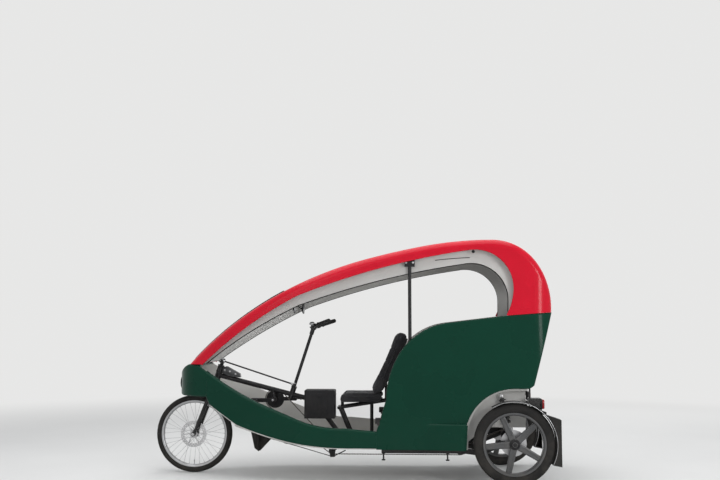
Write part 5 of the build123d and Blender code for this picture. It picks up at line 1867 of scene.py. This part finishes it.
@dataclass
class Underbody:
    """Damper springs, idler flanges, jacking pads, guards and the battery's trims."""

    damper_foot: Point = (-1.1878, 0.394, 0.3153)
    damper_top: Point = (-1.12, 0.394, 0.636)
    coil_r: float = 0.0225
    coil_turns: int = 7
    sill_y: float = 0.33
    pad_xs: Sequence[float] = (-0.25, -0.725)
    battery: Point = (0.245, 0.0993, 0.545)
    fender_r: float = 0.3048

    def build(self) -> None:
        """Models what hangs under the cab and stands in it."""
        self._springs()
        self._idlers()
        self._pads()
        self._battery()
        self._flap()
        self._guard()
        self._cable()
        self._bracket()
        self._fenders()

    def _springs(self) -> None:
        """Coil springs round the dampers, between two cups."""
        foot = Vector(self.damper_foot)
        run = Vector(self.damper_top) - foot
        ahead, side = run.normalized(), Vector(ALONG_Y)
        across = ahead.cross(side)
        per_turn = 14
        points = []
        for index in range(self.coil_turns * per_turn + 1):
            turn = math.tau * index / per_turn
            share = 0.4 + 0.48 * index / (self.coil_turns * per_turn)
            points.append(foot + run * share
                          + (side * math.cos(turn) + across * math.sin(turn)) * self.coil_r)
        coil = Shop.pipe(points, 0.0034, smooth=True, sides=2)
        cup = ((0, 0), (0.024, 0), (0.0262, 0.002), (0.0262, 0.006), (0, 0.006))
        cups = [Shop.lathe(cup, foot + run * share, ahead, 28) for share in (0.375, 0.885)]
        Shop.mount("damper_springs", [coil, *cups], Slot.BLACK_STEEL, both=True)

    @staticmethod
    def _idlers() -> None:
        """Flanges on the chain's idlers, and the sprocket's teeth."""
        flange = ((0, -0.0007), (0.0265, -0.0007), (0.027, 0), (0.0265, 0.0007), (0, 0.0007))
        parts = []
        for x, z in IDLERS:
            parts += [Shop.lathe(flange, (x, y, z), ALONG_Y, 32) for y in (-0.068, -0.056)]
            parts.append(Shop.hex_bolt((x, -0.0698, z), (0, -1.0, 0)))
        Shop.mount("idler_flanges", parts, Slot.BLACK_STEEL)
        spot = Vector((REAR_AXLE[0], CHAIN_Y, REAR_AXLE[1]))
        tooth = Shop.block(at(spot, z=0.0415), (0.006, 0.0022, 0.006), 0.001)
        Shop.mount("sprocket_teeth", Shop.ring(tooth, 21, spot), Slot.CHAIN_STEEL)

    def _pads(self) -> None:
        """Jacking pads on studs under the sill tubes, with clamps round the tubes."""
        y = self.sill_y
        pad = ((0, 0), (0.013, 0), (0.0145, 0.0025), (0.0145, 0.008), (0, 0.01))
        parts = []
        for x in self.pad_xs:
            parts += [Shop.bar((x, y, 0.205), (x, y, 0.156), 0.006, 14),
                      Shop.lathe(pad, (x, y, 0.15), ALONG_Z, 20),
                      Shop.lathe(band(0.0202, 0.0228, 0.024, 0.012), (x, y, 0.2217), ALONG_X, 32)]
        Shop.mount("jacking_pads", parts, Slot.BLACK_STEEL, both=True)
        Shop.bolts("axle_bolts", outward(-0.96, 0.3452, 0.208) + outward(-1.12, 0.402, 0.63),
                   across=0.019)

    @staticmethod
    def _flap() -> None:
        """Front flap's gusset."""
        gusset = Shop.plate(((0.8, 0.372), (0.794, 0.311), (0.767, 0.192), (0.742, 0.173),
                             (0.722, 0.173), (0.645, 0.256), (0.63, 0.326)), 0, 0.07, 0.006)
        Shop.mount("flap_gusset", [gusset], Slot.RUBBER)

    @staticmethod
    def _guard() -> None:
        """Guard plate beside the front idler, on its arm."""
        guard = Shop.plate(((0.194, 0.205), (0.18, 0.116), (0.142, 0.118), (0.138, 0.205)),
                           -0.048, 0.006)
        arm = Shop.bar((0.146, -0.044, 0.128), (0.058, -0.044, 0.17), 0.0045, 10)
        Shop.mount("idler_guard", [guard, arm], Slot.BLACK_STEEL)

    @staticmethod
    def _cable() -> None:
        """Gear cable with its barrel, from the main tube down past the front idler."""
        cable = Shop.pipe([(0.655, -0.02, 0.262), (0.532, -0.03, 0.228), (0.35, -0.04, 0.176),
                           (0.178, -0.044, 0.126)], 0.003, smooth=True)
        barrel = Shop.bar((0.545, -0.029, 0.232), (0.515, -0.0315, 0.223), 0.0062, 12)
        Shop.mount("gear_cable", [cable, barrel], Slot.RUBBER)

    @staticmethod
    def _bracket() -> None:
        """Bolted bracket behind the head tube."""
        bracket = Shop.plate(((1.034, 0.771), (1.03, 0.817), (0.996, 0.826), (0.89, 0.768),
                              (0.884, 0.738), (0.96, 0.745)), 0, 0.046, 0.004)
        Shop.mount("head_bracket", [bracket], Slot.GREY_ALLOY)
        spots = [spot for x, z in ((1.012, 0.795), (0.97, 0.785), (0.925, 0.765))
                 for spot in outward(x, 0.0228, z)]
        Shop.bolts("bracket_bolts", spots, across=0.01)

    def _fenders(self) -> None:
        """Rolled beads along both edges of each rear fender."""
        turns = [math.radians(59.0 + 149.0 * index / 40) for index in range(41)]
        beads = [Shop.pipe([(REAR_AXLE[0] + self.fender_r * math.cos(turn), y,
                             REAR_AXLE[1] + self.fender_r * math.sin(turn)) for turn in turns],
                           0.0022) for y in (0.542, 0.4475)]
        Shop.mount("fender_beads", beads, Slot.SILVER_ALLOY, both=True)

    def _battery(self) -> None:
        """Lid band, latch and ribs of the battery box."""
        spot = self.battery
        rib = Shop.block(at(spot, -0.06, 0.08, -0.02), (0.008, 0.004, 0.11), 0.0016)
        parts = [Shop.block(at(spot, z=0.068), (0.2385, 0.1625, 0.006), 0.002),
                 *Shop.row(rib, 5, (0.03, 0, 0)),
                 Shop.block(at(spot, y=0.0815, z=0.066), (0.036, 0.008, 0.03), 0.0024)]
        Shop.mount("battery_trims", parts, Slot.BLACK_PLASTIC)


STITCHED = (Seam(0.105, None), Seam(-0.105, None))
DIVIDED = (Seam(0, None, 0.01, 0.012), Seam(0.19, None), Seam(-0.19, None))


def upholstery() -> list[Pad]:
    """The four pads, each with its seams."""
    seat, bench = Slot.SEAT_FABRIC, Slot.BENCH_FABRIC
    return [
        Pad("rider_seat", "rider_seat_pad", seat, (-0.076, 0.0, 0.6), (-1.0, 0.0, 0.05),
            (0.05, 0.0, 1.0), 0.172, 0.155,
            (*STITCHED, Seam(None, 0.045), Seam(None, -0.055)), bolster=0.01),
        Pad("rider_back", "rider_back_pad", seat, (-0.286, 0.0, 0.862), (-0.224, 0.0, 0.461),
            (0.9, 0.0, 0.436), 0.17, 0.225,
            (*STITCHED, *(Seam(None, up) for up in (0.11, 0.0, -0.11))), bolster=0.01,
            margin=0.006),
        Pad("bench_cushion", "bench_seat_pad", bench, (-0.87, 0.0, 0.745), (-1.0, 0.0, 0.0),
            (0.0, 0.0, 1.0), 0.385, 0.225, (*DIVIDED, Seam(None, 0.08)), voxel=0.008),
        Pad("bench_back", "bench_back_pad", bench, (-1.238, 0.0, 0.955), (-0.16, 0.0, 0.49),
            (0.95, 0.0, 0.31), 0.38, 0.225, (*DIVIDED, Seam(None, 0.09), Seam(None, -0.09)),
            voxel=0.008),
    ]


@dataclass
class Studio:
    """Camera at the photograph's viewpoint, pale floor and soft lamps."""

    eye: Point = (-0.441, 7.317, 1.166)
    turn: float = math.radians(3.0)
    pitch: float = 0.0896
    lens: float = 46.2
    sensor: float = 36.0
    floor_reach: float = 60.0
    pale: Colour = (0.8, 0.8, 0.79)

    def build(self) -> None:
        """Sets the camera, the floor, the lamps and the view transform."""
        scene = bpy.context.scene
        scene.view_settings.view_transform = "Standard"
        self._camera(scene)
        self._floor()
        self._world(scene)
        self._lamps()

    def _camera(self, scene: bpy.types.Scene) -> None:
        """Adds the camera, level across and pitched up."""
        level = Vector((math.sin(self.turn), -math.cos(self.turn), 0.0))
        right = Vector((-math.cos(self.turn), -math.sin(self.turn), 0.0))
        ahead = level * math.cos(self.pitch) + Vector((0.0, 0.0, math.sin(self.pitch)))
        up = right.cross(ahead)
        bpy.ops.object.camera_add(location=self.eye)
        camera = bpy.context.active_object
        camera.name = "viewpoint"
        camera.data.lens = self.lens
        camera.data.sensor_width = self.sensor
        camera.matrix_world = Matrix((
            (right.x, up.x, -ahead.x, self.eye[0]),
            (right.y, up.y, -ahead.y, self.eye[1]),
            (right.z, up.z, -ahead.z, self.eye[2]),
            (0.0, 0.0, 0.0, 1.0)))
        scene.camera = camera

    @staticmethod
    def _seen(board: Board) -> Socket:
        """Mask of the rays that see the backdrop, among them those off metal and through glass."""
        path = board.node("ShaderNodeLightPath")
        straight = board.maths("MAXIMUM", path.outputs["Is Camera Ray"],
                               path.outputs["Is Transmission Ray"])
        return board.maths("MAXIMUM", straight, path.outputs["Is Glossy Ray"])

    def _floor(self) -> None:
        """Adds a floor that keeps the shadow near the object and is evenly pale far from it."""
        bpy.ops.mesh.primitive_plane_add(size=2 * self.floor_reach)
        floor = bpy.context.active_object
        floor.name = "studio_floor"
        paint = bpy.data.materials.new("studio_floor")
        paint.use_nodes = True
        nodes = paint.node_tree.nodes
        shader = nodes["Principled BSDF"]
        shader.inputs["Roughness"].default_value = 0.9
        shader.inputs["Specular IOR Level"].default_value = 0.1
        board = Board(paint.node_tree)
        skin = SHELF.place(board, Effect.GRAIN, Scale=60.0, Patch=0.7)
        shade = tuple(0.97 * part for part in self.pale)
        board.link(board.blend(skin.outputs["Tone"], self.pale, shade), shader.inputs["Base Color"])
        reach = board.node("ShaderNodeVectorMath", operation="LENGTH")
        board.link(board.place(), reach.inputs[0])
        far = board.ramp(reach.outputs["Value"], 3.2, 8.5)
        glow = board.node("ShaderNodeEmission", in_Color=BACKDROP, in_Strength=1.0)
        board.mix(board.maths("MULTIPLY", far, self._seen(board)), shader, glow,
                  nodes["Material Output"])
        floor.data.materials.append(paint)

    def _world(self, scene: bpy.types.Scene) -> None:
        """Lights the object plainly from the world, and shows a pale backdrop."""
        world = bpy.data.worlds.new("studio")
        scene.world = world
        world.use_nodes = True
        board = Board(world.node_tree)
        nodes = world.node_tree.nodes
        soft = nodes["Background"]
        soft.inputs["Color"].default_value = (0.95, 0.97, 1.0, 1.0)
        soft.inputs["Strength"].default_value = 0.45
        shown = board.node("ShaderNodeBackground", in_Color=BACKDROP, in_Strength=1.0)
        board.mix(self._seen(board), soft, shown, nodes["World Output"])

    @staticmethod
    def _lamps() -> None:
        """Adds a large overhead lamp, two weaker side lamps and a strip at the rear corner."""
        lamps = (
            ("overhead", (0.0, 0.5, 5.5), (0.0, 0.0, 0.6), 6.0, 6.0, 230.0),
            ("near_side", (2.5, 6.5, 3.2), (0.0, 0.0, 0.8), 4.0, 4.0, 45.0),
            ("far_side", (-3.5, -5.5, 3.0), (0.0, 0.0, 0.8), 4.0, 4.0, 60.0),
            ("rear_strip", (-4.6, 5.0, 2.1), (-1.4, 0.3, 1.3), 1.5, 2.6, 110.0),
        )
        for name, place, aim, width, height, power in lamps:
            bpy.ops.object.light_add(type="AREA", location=place)
            lamp = bpy.context.active_object
            lamp.name = name
            lamp.data.shape = "RECTANGLE"
            lamp.data.size = width
            lamp.data.size_y = height
            lamp.data.energy = power
            lamp.rotation_euler = (Vector(aim) - Vector(place)).to_track_quat("-Z", "Y").to_euler()


class Paintwork:
    """Gives every CAD node the finish of its record slot."""

    def dress(self) -> None:
        """Assigns the finishes."""
        slots = {row["node"]: row["material_slot"] for row in frame["record"]["subparts"]}
        for name, node in frame["nodes"].items():
            node.data.materials.clear()
            node.data.materials.append(finish_of(Slot(slots[name])))
        log.info("painted %d CAD nodes", len(frame["nodes"]))


def main() -> None:
    """Builds the studio, paints the CAD nodes and models every sub-assembly."""
    logging.basicConfig(level=logging.INFO, format="%(message)s")
    Studio().build()
    Paintwork().dress()
    assemblies = [FrontWheel(), Drive(), Steering(), Canopy(), BodyTrim(), Lamps(), Mirrors(),
                  Underbody(), *upholstery()]
    assemblies += [RearWheel(side, sign) for side, sign in SIDES]
    for assembly in assemblies:
        assembly.build()


if __name__ == "__main__":
    main()
